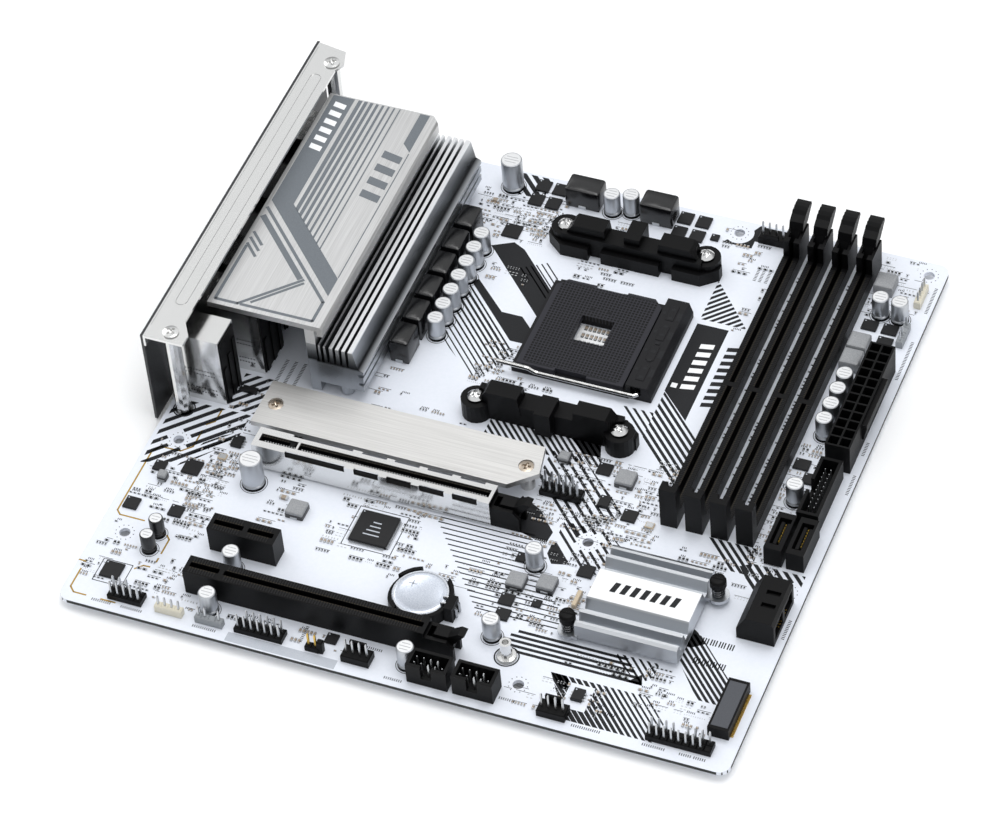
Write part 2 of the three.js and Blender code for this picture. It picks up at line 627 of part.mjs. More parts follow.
// ---- Power, drive and front panel connectors -------------------------------------------------

// A two-row power connector from its corner, its rows along Y and its catch ledge on the +X side.
function powerConnector(columns) {
  const wall = 0.7;
  const cell = POWER_PITCH - wall;
  const width = 2 * POWER_PITCH + wall;
  const length = columns * POWER_PITCH + wall;
  const height = 12.8;
  const body = block(0, width, 0, length, 0, height);
  const cells = [];
  for (let row = 0; row < 2; row += 1) {
    for (let column = 0; column < columns; column += 1) {
      const x = wall + row * POWER_PITCH;
      const y = wall + column * POWER_PITCH;
      cells.push(block(x, x + cell, y, y + cell, 2.5, height + 1));
    }
  }
  const ledge = alongY([
    [width - 0.2, 4], [width + 0.6, 4], [width + 1.8, 9.6], [width + 1.8, 11.2], [width - 0.2, 11.2],
  ], length * 0.26, length * 0.72);
  return cut(fuse(body, ledge), ...cells);
}

// A header with a wall round its pins, from its corner, and a keying notch in one wall.
function boxedHeader(width, length, height, notch) {
  const wall = 1.2;
  const well = block(wall, width - wall, wall, length - wall, 2.4, height + 1);
  return cut(block(0, width, 0, length, 0, height), well, notch);
}

// One drive port looking up: a block with an L-shaped mouth round its tongue.
function uprightDrivePort() {
  const body = block(0, 6.4, 0, 17, 0, 8.5);
  const mouth = block(1.3, 4.6, 2.4, 14.6, 2, 9.5);
  const foot = block(1.3, 5.6, 12.6, 14.6, 2, 9.5);
  const tongue = block(2.2, 3.4, 3.4, 13.6, 1, 7.6);
  return fuse(cut(body, mouth, foot), tongue);
}

// Two drive ports side by side, leaning outwards, with their mouths on the +X side.
function angledDrivePorts() {
  const body = alongY([[0, 0], [13.4, 0], [13.4, 9], [12.6, 11], [3.4, 11], [0, 5]], 0, 20.5);
  const mouths = [1.6, 11.2].map((y) => cut(
    block(5, 14.4, y, y + 7.7, 2.2, 8.2), block(4, 12.6, y + 0.8, y + 6.9, 4.6, 5.8),
  ));
  const slits = [6.8, 12.6].map((y) => block(6.4, 11.4, y, y + 1.9, 9.6, 12));
  return cut(body, ...mouths, ...slits);
}

function connectors() {
  place('main_power_connector', powerConnector(12), BLACK_PLASTIC, 231.4, 137.6, 0);
  const processorPower = place('processor_power_connector', powerConnector(4), BLACK_PLASTIC, 26, 241.6, 0);
  processorPower.rotation.z = -Math.PI / 2;
  const frontUsb = boxedHeader(8, 27, 9, block(-1, 2, 11, 16, 3.4, 10));
  place('front_usb_header', frontUsb, BLACK_PLASTIC, 231, 108, 0);
  for (const [i, x] of [129, 145.5].entries()) {
    const header = boxedHeader(14.7, 8, 9, block(5.4, 9.3, -1, 2, 3.4, 10));
    place(`boxed_usb_header_${i + 1}`, header, BLACK_PLASTIC, x, 3.4, 0);
  }
  for (const [i, x] of [225.4, 233.4].entries()) {
    place(`upright_drive_port_${i + 1}`, uprightDrivePort(), BLACK_PLASTIC, x, 89.8, 0);
  }
  place('angled_drive_ports', angledDrivePorts(), BLACK_PLASTIC, 227.4, 56, 0);
}

// ---- Assembly --------------------------------------------------------------------------------

circuitBoard();
REAR_STACKS.forEach(rearStack);
shieldPlate();
shieldBracket();
shieldPosts();
regulatorHeatsink();
regulatorCover();
socketBase();
socketCover();
socketLever();
coolerMount();
memory();
expansionSlots();
storage();
chipsetHeatsink();
battery();
connectors();

layout.updateMatrixWorld(true);
const extent = new THREE.Box3().setFromObject(layout, true);
const middle = extent.getCenter(new THREE.Vector3());
layout.position.set(-middle.x, -middle.y, -extent.min.z);

const motherboard = new THREE.Group();
motherboard.add(layout);

export default motherboard;
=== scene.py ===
# %% [markdown]
# # A white micro-ATX motherboard
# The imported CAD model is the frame. Everything added here is a piece that rides on it: chips,
# chokes, cans, pins, contacts, printing and solder. All of it is placed in board millimetres,
# from the board's rear header corner, on its top face.

# %% Load the frame
import math
import random

import bpy
from mathutils import Matrix, Vector


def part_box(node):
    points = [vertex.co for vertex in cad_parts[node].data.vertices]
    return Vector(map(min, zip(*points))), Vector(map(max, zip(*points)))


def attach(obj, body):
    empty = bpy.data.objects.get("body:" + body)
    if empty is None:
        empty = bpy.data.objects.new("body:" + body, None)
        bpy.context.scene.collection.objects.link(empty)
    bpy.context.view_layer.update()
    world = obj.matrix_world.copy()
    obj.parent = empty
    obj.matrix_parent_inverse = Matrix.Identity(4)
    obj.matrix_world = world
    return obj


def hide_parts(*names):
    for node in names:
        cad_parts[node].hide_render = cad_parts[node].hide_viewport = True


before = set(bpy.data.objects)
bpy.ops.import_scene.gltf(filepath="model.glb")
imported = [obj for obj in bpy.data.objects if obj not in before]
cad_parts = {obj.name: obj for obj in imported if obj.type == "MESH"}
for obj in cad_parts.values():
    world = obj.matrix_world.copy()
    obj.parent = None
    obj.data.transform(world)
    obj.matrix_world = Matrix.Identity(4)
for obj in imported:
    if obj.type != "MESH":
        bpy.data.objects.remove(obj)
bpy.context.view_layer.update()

MM = 0.001
board_low, board_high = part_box("circuit_board")
BOARD_SIDE = (board_high.x - board_low.x) / MM
BOARD_THICKNESS = (board_high.z - board_low.z) / MM
print("board", round(BOARD_SIDE, 2), "mm square,", round(BOARD_THICKNESS, 2), "mm thick")

# %% [markdown]
# Board millimetres are the natural unit here, because every connector is drawn in them. Two
# functions go between them and the frame's metres. Nothing else in the script knows the offset.


# %% From board millimetres to the frame, and back
def at(x, y, z=0.0):
    """A point on the board, in the frame's metres."""
    return Vector((board_low.x + x * MM, board_low.y + y * MM, board_high.z + z * MM))


def span(node):
    """A CAD node's box in board millimetres: x0, x1, y0, y1, z0, z1."""
    low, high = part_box(node)
    corner = at(0, 0)
    a = (low - corner) / MM
    b = (high - corner) / MM
    return a.x, b.x, a.y, b.y, a.z, b.z


print("socket cover spans", [round(v, 1) for v in span("cpu_socket_cover")])

# %% [markdown]
# ## Camera and light
# The camera stands off the front header corner with a long lens, about 47 degrees above the
# board, with a few degrees of roll. A long lens keeps the four memory slots almost parallel. The
# light is a white studio: one big soft box overhead, one to the rear and a weak fill in front, so
# that the brushed metal has a bright sky to reflect and the plastics keep soft edges.


# %% Camera
VIEW_AZIMUTH = 25.64
VIEW_ELEVATION = 47.19
VIEW_ROLL = -5.69
VIEW_DISTANCE = 1519.3
LENS = 154.9
AIM = (115.06, 124.52)

camera_data = bpy.data.cameras.new("camera")
camera_data.lens = LENS
camera_data.clip_end = 20
camera = bpy.data.objects.new("camera", camera_data)
bpy.context.scene.collection.objects.link(camera)
bpy.context.scene.camera = camera
turn = Matrix.Rotation(math.radians(VIEW_AZIMUTH), 4, "Z")
tilt = Matrix.Rotation(math.radians(90 - VIEW_ELEVATION), 4, "X")
roll = Matrix.Rotation(math.radians(VIEW_ROLL), 4, "Z")
back = Matrix.Translation((0, 0, VIEW_DISTANCE * MM))
camera.matrix_world = Matrix.Translation(at(*AIM)) @ turn @ tilt @ roll @ back
print("camera at", [round(v, 3) for v in camera.matrix_world.translation])


# %% Lights and sky
def soft_box(name, place, aim, size, watts):
    """A square area light, aimed at a point."""
    data = bpy.data.lights.new(name, "AREA")
    data.shape = "RECTANGLE"
    data.size = size[0]
    data.size_y = size[1]
    data.energy = watts
    light = bpy.data.objects.new(name, data)
    light.location = place
    light.rotation_euler = (Vector(aim) - Vector(place)).to_track_quat("-Z", "Y").to_euler()
    bpy.context.scene.collection.objects.link(light)


soft_box("overhead_box", (0.1, 0.2, 1.5), (0, 0, 0), (1.0, 0.8), 9)
soft_box("rear_box", (-1.2, 0.6, 1.0), (0, 0, 0.02), (0.9, 0.6), 3)
soft_box("front_fill", (1.1, -0.5, 0.6), (0, 0, 0), (0.7, 0.4), 1.5)

world = bpy.data.worlds.new("studio")
bpy.context.scene.world = world
world.use_nodes = True
bpy.context.scene.view_settings.view_transform = "Standard"

# %% [markdown]
# ## Materials
# Each finish is a small node tree on one Principled shader. A uniform value is set on the
# shader's own socket, and nodes only carry what varies over the surface: grain, brushing, the
# socket's grid and a shade by height. Patterns use object coordinates, which are metres here
# because every piece's origin is the frame's, so a scale is one over a real size.


# %% Colours, nodes and a shader
def linear(hex_colour):
    """An sRGB colour such as E8ECF3 as linear red, green, blue, alpha."""
    channels = []
    for i in (0, 2, 4):
        c = int(hex_colour[i:i + 2], 16) / 255
        channels.append(c / 12.92 if c <= 0.04045 else ((c + 0.055) / 1.055) ** 2.4)
    return (*channels, 1.0)


def add_node(tree, kind, settings=None, links=None):
    """Adds a node, sets its inputs or properties, and links sources to its inputs."""
    new = tree.nodes.new(kind)
    for key, value in (settings or {}).items():
        if isinstance(key, int) or key in new.inputs:
            new.inputs[key].default_value = value
        else:
            setattr(new, key, value)
    for key, source in (links or {}).items():
        tree.links.new(source, new.inputs[key])
    return new


def shader(name, colour, roughness, metallic=0.0, **sockets):
    """A material with one Principled shader. Returns the material, its tree and the shader."""
    made = bpy.data.materials.new(name)
    made.use_nodes = True
    tree = made.node_tree
    principled = tree.nodes["Principled BSDF"]
    values = {"Base Color": linear(colour), "Roughness": roughness, "Metallic": metallic, **sockets}
    for key, value in values.items():
        principled.inputs[key].default_value = value
    return made, tree, principled


def varied(tree, principled, noise, low, high):
    """The noise moves the roughness between two limits."""
    limits = {"From Min": 0.3, "From Max": 0.7, "To Min": low, "To Max": high}
    spread = add_node(tree, "ShaderNodeMapRange", limits, {"Value": noise.outputs["Fac"]})
    tree.links.new(spread.outputs["Result"], principled.inputs["Roughness"])


def tinted(tree, principled, noise, first, second):
    """The noise mixes the colour between two near shades."""
    ramp = add_node(tree, "ShaderNodeValToRGB", links={"Fac": noise.outputs["Fac"]})
    for element, position, shade in zip(ramp.color_ramp.elements, (0.3, 0.7), (first, second)):
        element.position = position
        element.color = linear(shade)
    tree.links.new(ramp.outputs["Color"], principled.inputs["Base Color"])


RELIEF = 0.02 * MM


def grained(name, colour, roughness, grain_mm, depth, metallic=0.0, stretch=(1, 1, 1),
            gloss=None, shades=None, **sockets):
    """A shader with a fine noise relief. The noise can also move its gloss or its colour."""
    made, tree, principled = shader(name, colour, roughness, metallic, **sockets)
    place = add_node(tree, "ShaderNodeTexCoord")
    scaled = add_node(tree, "ShaderNodeMapping", {"Scale": stretch}, {"Vector": place.outputs["Object"]})
    grain = {"Scale": 1 / (grain_mm * MM), "Detail": 3.0, "Roughness": 0.6}
    noise = add_node(tree, "ShaderNodeTexNoise", grain, {"Vector": scaled.outputs["Vector"]})
    bump = add_node(tree, "ShaderNodeBump", {"Strength": depth, "Distance": RELIEF},
                    {"Height": noise.outputs["Fac"]})
    tree.links.new(bump.outputs["Normal"], principled.inputs["Normal"])
    if gloss:
        varied(tree, principled, noise, *gloss)
    if shades:
        tinted(tree, principled, noise, *shades)
    return made


print("grain relief", RELIEF / MM, "mm")

# %% [markdown]
# The studio's sky is brightest about halfway up and dim at the horizon. Flat metal then mirrors a
# bright sky, while upright shells pick up dark streaks, as they do between white and black cards.

# %% Sky
sky = world.node_tree
sky_place = add_node(sky, "ShaderNodeTexCoord")
sky_axes = add_node(sky, "ShaderNodeSeparateXYZ", links={0: sky_place.outputs["Generated"]})
sky_ramp = add_node(sky, "ShaderNodeValToRGB", links={"Fac": sky_axes.outputs["Z"]})
SKY = ((0.0, 0.12), (0.35, 0.4), (0.62, 0.95), (0.85, 0.95), (1.0, 0.7))
stops = sky_ramp.color_ramp.elements
for position, level in SKY:
    if position == 0.0:
        stop = stops[0]
    elif position == 1.0:
        stop = stops[-1]
    else:
        stop = stops.new(position)
    stop.color = (level * 0.98, level * 0.99, level, 1)
sky.links.new(sky_ramp.outputs["Color"], sky.nodes["Background"].inputs["Color"])
print("sky stops", len(SKY))

# %% [markdown]
# ### Board, plastics
# The board is glass laminate under a cool white solder mask: a semi-matt ink that sinks a
# little between the copper tracks under it, so its relief is broad and very shallow. Connectors
# are glass-filled nylon or LCP, moulded with a fine spark-eroded grain, which gives broad, soft
# highlights. Real grain is about 0.1 mm; it is drawn at 0.25 to 0.3 mm so that it shows.

# %% Solder mask and plastics
DULL = {"Specular IOR Level": 0.14}
SOFT = {"Specular IOR Level": 0.2}
LOW = {"Specular IOR Level": 0.3}
PLAIN = {"Specular IOR Level": 0.5}
solder_mask = grained("white_solder_mask", "E6EAF3", 0.42, 1.2, 0.15, IOR=1.5, shades=("E4E9F2", "E8ECF5"))
black_nylon = grained("black_nylon_moulded", "050506", 0.44, 0.25, 0.35, IOR=1.53, gloss=(0.36, 0.5),
                      **DULL)
black_lcp = grained("black_lcp_moulded", "060607", 0.5, 0.25, 0.3, IOR=1.53, gloss=(0.44, 0.58), **DULL)
cream_nylon = grained("cream_nylon_moulded", "DDD8C6", 0.45, 0.3, 0.25, IOR=1.53,
                      shades=("D6D0BC", "E2DDCD"))
grey_nylon = grained("grey_nylon_moulded", "8C9094", 0.5, 0.3, 0.25, IOR=1.53, shades=("85898D", "94989C"))
print("plastics", [m.name for m in (solder_mask, black_nylon, black_lcp, cream_nylon, grey_nylon)])

# %% [markdown]
# The socket cover is dark grey LCP drilled with a grid of contact holes. The real pitch is about
# 1 mm, and it is drawn at 1.27 mm so that it shows. Two cosine waves make it, one along X and one
# along Y: where both are high there is a hole, sunk by a bump and coloured near-black as painted
# shade inside it, and elsewhere there is plastic.


# %% Socket plastic with its contact grid
GRID_PITCH = 1.27
GRID_MARGIN = 1.6


def contact_grid(name, pitch_mm, margin):
    """Dark grey plastic with a square grid of sunk holes in painted shade, kept off the rim by a margin."""
    made, tree, principled = shader(name, "1B1B1E", 0.5, IOR=1.53, **SOFT)
    place = add_node(tree, "ShaderNodeTexCoord")
    axes = add_node(tree, "ShaderNodeSeparateXYZ", links={0: place.outputs["Object"]})
    waves = []
    rims = []
    x0, x1, y0, y1, _, _ = span("cpu_socket_cover")
    for axis, low, high in (("X", x0, x1), ("Y", y0, y1)):
        centre = (at(low, low) + at(high, high))[0 if axis == "X" else 1] / 2
        half = (high - low) / 2 * MM
        offset = add_node(tree, "ShaderNodeMath", {"operation": "SUBTRACT", 1: centre},
                          {0: axes.outputs[axis]})
        phase = add_node(tree, "ShaderNodeMath", {"operation": "MULTIPLY",
                                                  1: 2 * math.pi / (pitch_mm * MM)},
                         {0: offset.outputs[0]})
        waves.append(add_node(tree, "ShaderNodeMath", {"operation": "COSINE"}, {0: phase.outputs[0]}))
        reach = add_node(tree, "ShaderNodeMath", {"operation": "ABSOLUTE"}, {0: offset.outputs[0]})
        rims.append(add_node(tree, "ShaderNodeMath", {"operation": "LESS_THAN", 1: half - margin * MM},
                             {0: reach.outputs[0]}))
    both = add_node(tree, "ShaderNodeMath", {"operation": "MINIMUM"},
                    {0: waves[0].outputs[0], 1: waves[1].outputs[0]})
    hole = add_node(tree, "ShaderNodeMapRange", {"From Min": -0.65, "From Max": -0.15},
                    {"Value": both.outputs[0]})
    inside = add_node(tree, "ShaderNodeMath", {"operation": "MULTIPLY"},
                      {0: rims[0].outputs[0], 1: rims[1].outputs[0]})
    holes = add_node(tree, "ShaderNodeMath", {"operation": "MULTIPLY"},
                     {0: hole.outputs[0], 1: inside.outputs[0]})
    # The ramp's near-black end is painted shade inside the holes, and its grey end is the plastic.
    ramp = add_node(tree, "ShaderNodeValToRGB", links={"Fac": holes.outputs[0]})
    ramp.color_ramp.elements[0].color = linear("2C2C32")
    ramp.color_ramp.elements[1].color = linear("030303")
    tree.links.new(ramp.outputs["Color"], principled.inputs["Base Color"])
    bump = add_node(tree, "ShaderNodeBump", {"Strength": 0.6, "Distance": 0.3 * MM, "invert": True},
                    {"Height": holes.outputs[0]})
    tree.links.new(bump.outputs["Normal"], principled.inputs["Normal"])
    return made


socket_grid = contact_grid("socket_plastic_drilled", GRID_PITCH, GRID_MARGIN)
socket_plastic = grained("socket_plastic_moulded", "151518", 0.5, 0.25, 0.3, IOR=1.53, gloss=(0.42, 0.58),
                         **SOFT)
print("socket grid pitch", GRID_PITCH, "mm")

# %% [markdown]
# ### Metals
# Brushed aluminium has scratches tens of millimetres long and a tenth wide; they are drawn 0.3 to
# 0.4 mm wide. Extruded aluminium has die lines along its length. Nickel plate on pressed steel is
# almost a mirror with a slight orange peel. Polymer capacitor cans are drawn aluminium under clear
# lacquer. The coin cell is stainless steel with a lapped face.


# %% Metals
def brushed(name, colour, roughness, along, width_mm, depth, shades=None):
    """Metal brushed along X or Y: noise squeezed across the brushing and stretched along it."""
    stretch = (0.01, 1, 1) if along == "X" else (1, 0.01, 1)
    limits = (roughness - 0.06, roughness + 0.08)
    return grained(name, colour, roughness, width_mm, depth, 1.0, stretch, limits, shades)


brushed_plate = brushed("brushed_aluminium_plate", "D2D1CF", 0.42, "X", 0.3, 0.4, ("C6C5C3", "DBDAD8"))
brushed_cover = brushed("brushed_aluminium_cover", "CFCFCF", 0.42, "Y", 0.3, 0.4, ("BEBEBE", "D6D6D6"))
chrome = grained("chrome_plate", "D8D8D8", 0.1, 0.8, 0.1, 1.0, gloss=(0.06, 0.16))
steel_wire = grained("spring_steel", "A9ABAE", 0.25, 0.4, 0.2, 1.0, gloss=(0.2, 0.34))
cell_face = grained("lapped_steel_face", "C8CED8", 0.3, 0.35, 0.3, 1.0, shades=("B4BCC9", "DCE0E8"))
extruded_silver = brushed("extruded_aluminium", "B6B9BD", 0.32, "Y", 0.4, 0.3)
print("brushed and bright metals ready")

# %% [markdown]
# The regulator heatsink's fins stand close together, and the gaps between them look dark. That is
# painted here: its colour is mixed by height, darkest at the fins' roots and brightest at the tips.


# %% A shade by height
FIN_ROOT = 16.2
FIN_TIP = 24.3


def shaded_by_height(made, low, high, stops):
    """Mixes a material's colour between stops, each a share of the way from low to high."""
    tree = made.node_tree
    place = add_node(tree, "ShaderNodeTexCoord")
    axes = add_node(tree, "ShaderNodeSeparateXYZ", links={0: place.outputs["Object"]})
    heights = {"From Min": at(0, 0, low).z, "From Max": at(0, 0, high).z}
    share = add_node(tree, "ShaderNodeMapRange", heights, {"Value": axes.outputs["Z"]})
    ramp = add_node(tree, "ShaderNodeValToRGB", links={"Fac": share.outputs["Result"]})
    elements = ramp.color_ramp.elements
    for index, (position, colour) in enumerate(stops):
        stop = elements[index] if index < 2 else elements.new(position)
        stop.position = position
        stop.color = linear(colour)
    tree.links.new(ramp.outputs["Color"], tree.nodes["Principled BSDF"].inputs["Base Color"])


shaded_by_height(extruded_silver, FIN_ROOT - 1, FIN_TIP,
                 ((0.0, "B6B9BD"), (0.12, "2E2F31"), (0.5, "707376"), (0.94, "AEB1B5"), (0.97, "E6E7E9")))
print("fins shaded from", FIN_ROOT, "to", FIN_TIP, "mm")

# %% [markdown]
# Plated and turned metals. Nickel is the brightest, gold and tin are softer and show small glints on
# contacts and leads, lacquer blurs the cans' highlights, and the screws look a little warm.

# %% Plated metals
chipset_silver = brushed("extruded_aluminium_chipset", "C4C7CB", 0.34, "X", 0.4, 0.3)
nickel = grained("nickel_plated_steel", "E0E0DF", 0.16, 1.5, 0.15, 1.0, gloss=(0.12, 0.22))
brass_gold = grained("gold_plated_contact", "D9B45B", 0.25, 0.3, 0.2, 1.0, gloss=(0.2, 0.34))
tin = grained("tinned_copper", "C4C6C8", 0.32, 0.3, 0.3, 1.0, gloss=(0.26, 0.4))
can_lacquer = grained("lacquered_aluminium_can", "BFC2C6", 0.4, 0.3, 0.05, 1.0, gloss=(0.36, 0.44))
dark_coat = grained("dark_coated_steel", "2B2C2F", 0.42, 0.4, 0.3, IOR=1.5, gloss=(0.36, 0.5))
coin_steel = grained("lapped_stainless_steel", "D2D6DD", 0.24, 0.5, 0.2, 1.0, gloss=(0.18, 0.36))
screw_nickel = grained("nickel_screw", "B4A89A", 0.28, 0.5, 0.2, 1.0, gloss=(0.24, 0.36))
print("metals ready")

# %% [markdown]
# ### Small-part materials
# Chip bodies are black epoxy, a little greyer than the plastics. Inductors are pressed powder,
# grey or dark. Capacitors are tan barium titanate ceramic, and resistors black glass over alumina,
# which is glossier.

# %% Epoxy, powder, ceramic, glass
epoxy = grained("black_epoxy", "141416", 0.48, 0.2, 0.3, IOR=1.5, gloss=(0.42, 0.56), **LOW)
ferrite = grained("pressed_iron_powder", "222224", 0.4, 0.3, 0.5, IOR=1.6, shades=("1B1B1D", "2C2C2F"))
grey_alloy = grained("grey_alloy_powder", "8D8F92", 0.5, 0.4, 0.4, IOR=1.6, shades=("828487", "9A9C9F"))
tan_ceramic = grained("tan_ceramic", "9D8E7E", 0.4, 0.3, 0.2, IOR=1.6, shades=("8D7E6E", "AE9F8E"))
black_glass = grained("black_glass_film", "19191B", 0.25, 0.3, 0.15, IOR=1.5, gloss=(0.2, 0.32))
beige_ceramic = grained("beige_ceramic_lid", "C9B79C", 0.4, 0.4, 0.2, IOR=1.6, shades=("BFAC90", "D3C3AA"))
print("chip and ceramic finishes ready")

# %% [markdown]
# Printing is screened ink, almost without gloss. Paint and vinyl are smoother, and the chokes wear
# a smooth black skin with a small bright highlight.

# %% Inks, paint, skins
dark_ink = grained("dark_print_ink", "1A1B1E", 0.6, 0.3, 0.2, IOR=1.45, shades=("17181B", "1F2023"), **LOW)
slate_ink = grained("slate_print_ink", "666C72", 0.5, 0.3, 0.2, IOR=1.5, shades=("60666C", "6E747A"))
grey_ink = grained("pale_grey_print_ink", "B9BEC7", 0.5, 0.3, 0.2, IOR=1.5, shades=("B2B8C2", "C0C5CD"))
white_paint = grained("white_paint", "F2F3F4", 0.4, 0.3, 0.2, IOR=1.5, shades=("EDEEF0", "F6F7F8"))
choke_skin = grained("choke_black_skin", "0B0B0D", 0.22, 0.3, 0.2, IOR=1.55, gloss=(0.18, 0.28), **PLAIN)
black_sleeve = grained("black_vinyl_sleeve", "141416", 0.3, 0.6, 0.2, IOR=1.54, gloss=(0.26, 0.38))
can_top = grained("bright_can_top", "E4E5E6", 0.36, 0.5, 0.2, 0.6, gloss=(0.3, 0.44))
pale_mark = grained("can_top_print", "B4B5B8", 0.5, 0.3, 0.2, IOR=1.5, shades=("ACADB0", "BDBEC1"))
dull_gold = grained("bare_gold_copper", "A8893F", 0.4, 0.5, 0.2, 0.7, gloss=(0.34, 0.5))
print("inks and skins ready")

# %% [markdown]
# The last finishes are for slots and ports: moulded ribs in a lighter black than the slots, so that
# the pockets between them read as painted shade, the bronze leaves between them, painted near-black
# as the shade inside the pockets, coloured plastics for the jacks, and the cut edge of the laminate,
# which is rough and dark.

# %% Slot, port and edge finishes
# The ribs are a lighter copy of the slots' black, so the darker pockets between them read as painted shade.
rib_plastic = grained("slot_rib_plastic", "131315", 0.5, 0.3, 0.2, IOR=1.53, shades=("0F0F11", "18181A"),
                      **SOFT)
# The leaves' near-black bronze is painted shade, for contacts that sit down in shaded pockets.
leaf_in_painted_shade = grained("contact_leaf_in_painted_shade", "3B362C", 0.45, 0.3, 0.2, 0.9, gloss=(0.34, 0.5))
teal_plastic = grained("teal_port_plastic", "2E9C9C", 0.45, 0.3, 0.2, IOR=1.53, shades=("298F8F", "34A8A8"))
pink_plastic = grained("pink_jack_plastic", "E58AA4", 0.45, 0.3, 0.2, IOR=1.53, shades=("DD7F9A", "EC97AF"))
lime_plastic = grained("lime_jack_plastic", "9CC95A", 0.45, 0.3, 0.2, IOR=1.53, shades=("92BF50", "A8D268"))
sky_plastic = grained("sky_jack_plastic", "6FB4DE", 0.45, 0.3, 0.2, IOR=1.53, shades=("64A9D4", "7CBEE6"))
lamp_lens = grained("amber_lamp_lens", "D9A648", 0.3, 0.4, 0.1, IOR=1.49, shades=("CF9C3F", "E2B156"))
slate_plastic = grained("slate_socket_plastic", "3C3F46", 0.45, 0.3, 0.2, IOR=1.53,
                        shades=("373A41", "43464D"))
edge_laminate = grained("cut_laminate_edge", "1D201F", 0.7, 0.3, 0.5, IOR=1.5, shades=("161918", "2A2E2C"))
print("materials", len(bpy.data.materials))

# %% [markdown]
# ### Finishes on the CAD pieces
# Each CAD node keeps its shape and gets its real material.


# %% Assign finishes to the CAD nodes
def coat(material, *nodes):
    """Puts one material on CAD nodes."""
    for name in nodes:
        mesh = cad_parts[name].data
        mesh.materials.clear()
        mesh.materials.append(material)


def numbered(name, count):
    """The names of equal nodes, counted from one."""
    return [f"{name}_{i + 1}" for i in range(count)]


REAR_STACKS = ("audio_jack_stack", "usb_lan_stack", "usb_stack_lower", "usb_stack_upper",
               "video_port_stack", "keyboard_usb_stack")
MEMORY_SLOTS = numbered("memory_slot", 4)
coat(solder_mask, "circuit_board")
coat(nickel, "shield_bracket", "card_slot_sleeve", "cpu_socket_lever", "storage_standoff")
coat(nickel, *REAR_STACKS, *numbered("shield_post", 2))
coat(dark_coat, "rear_shield_plate", "cpu_backplate")
coat(extruded_silver, "regulator_heatsink")
coat(brushed_cover, "regulator_cover")
coat(brushed_plate, "storage_heatsink_plate")
coat(chipset_silver, "chipset_heatsink")
coat(socket_plastic, "cpu_socket_base")
coat(socket_grid, "cpu_socket_cover")
coat(black_nylon, "cooler_bracket_lower", "cooler_bracket_upper", *MEMORY_SLOTS,
     *numbered("memory_latch", 4))
coat(black_nylon, "card_slot_lower", "card_slot_short", "card_slot_upper", "card_latch_lower",
     "card_latch_upper")
coat(black_lcp, "storage_socket_upper", "storage_socket_lower", "battery_holder", "front_usb_header")
coat(black_lcp, "main_power_connector", "processor_power_connector", *numbered("boxed_usb_header", 2))
coat(black_lcp, *numbered("upright_drive_port", 2), "angled_drive_ports", *numbered("chipset_push_pin", 2))
coat(coin_steel, "coin_cell")
coat(screw_nickel, *numbered("shield_screw", 2), *numbered("heatsink_screw", 2),
     *numbered("storage_screw", 2))
coat(nickel, *numbered("bracket_screw", 4))
print("coated", len(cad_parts), "nodes")

# %% [markdown]
# ## Building small pieces
# A small part is a stack of rings joined by quads: four corners for a moulded block, a circle
# for a can or a pin. Rings that step inwards near the top give every block a real chamfer. One
# class collects any number of such solids, in board millimetres, and makes them one object.


# %% Outlines
def circle(x, y, radius, sides=20, start=0.0):
    """Points round a circle, anticlockwise."""
    steps = [start + 2 * math.pi * i / sides for i in range(sides)]
    return [(x + radius * math.cos(a), y + radius * math.sin(a)) for a in steps]


def rectangle(x0, x1, y0, y1, corner=0.0):
    """A rectangle's outline, anticlockwise, with rounded corners where asked."""
    if corner <= 0:
        return [(x0, y0), (x1, y0), (x1, y1), (x0, y1)]
    points = []
    centres = ((x1 - corner, y1 - corner), (x0 + corner, y1 - corner), (x0 + corner, y0 + corner),
               (x1 - corner, y0 + corner))
    for quarter, (cx, cy) in enumerate(centres):
        for step in range(4):
            a = math.pi / 2 * (quarter + step / 3)
            points.append((cx + corner * math.cos(a), cy + corner * math.sin(a)))
    return points


def raised(outline, z):
    """A flat outline at a height."""
    return [(x, y, z) for x, y in outline]


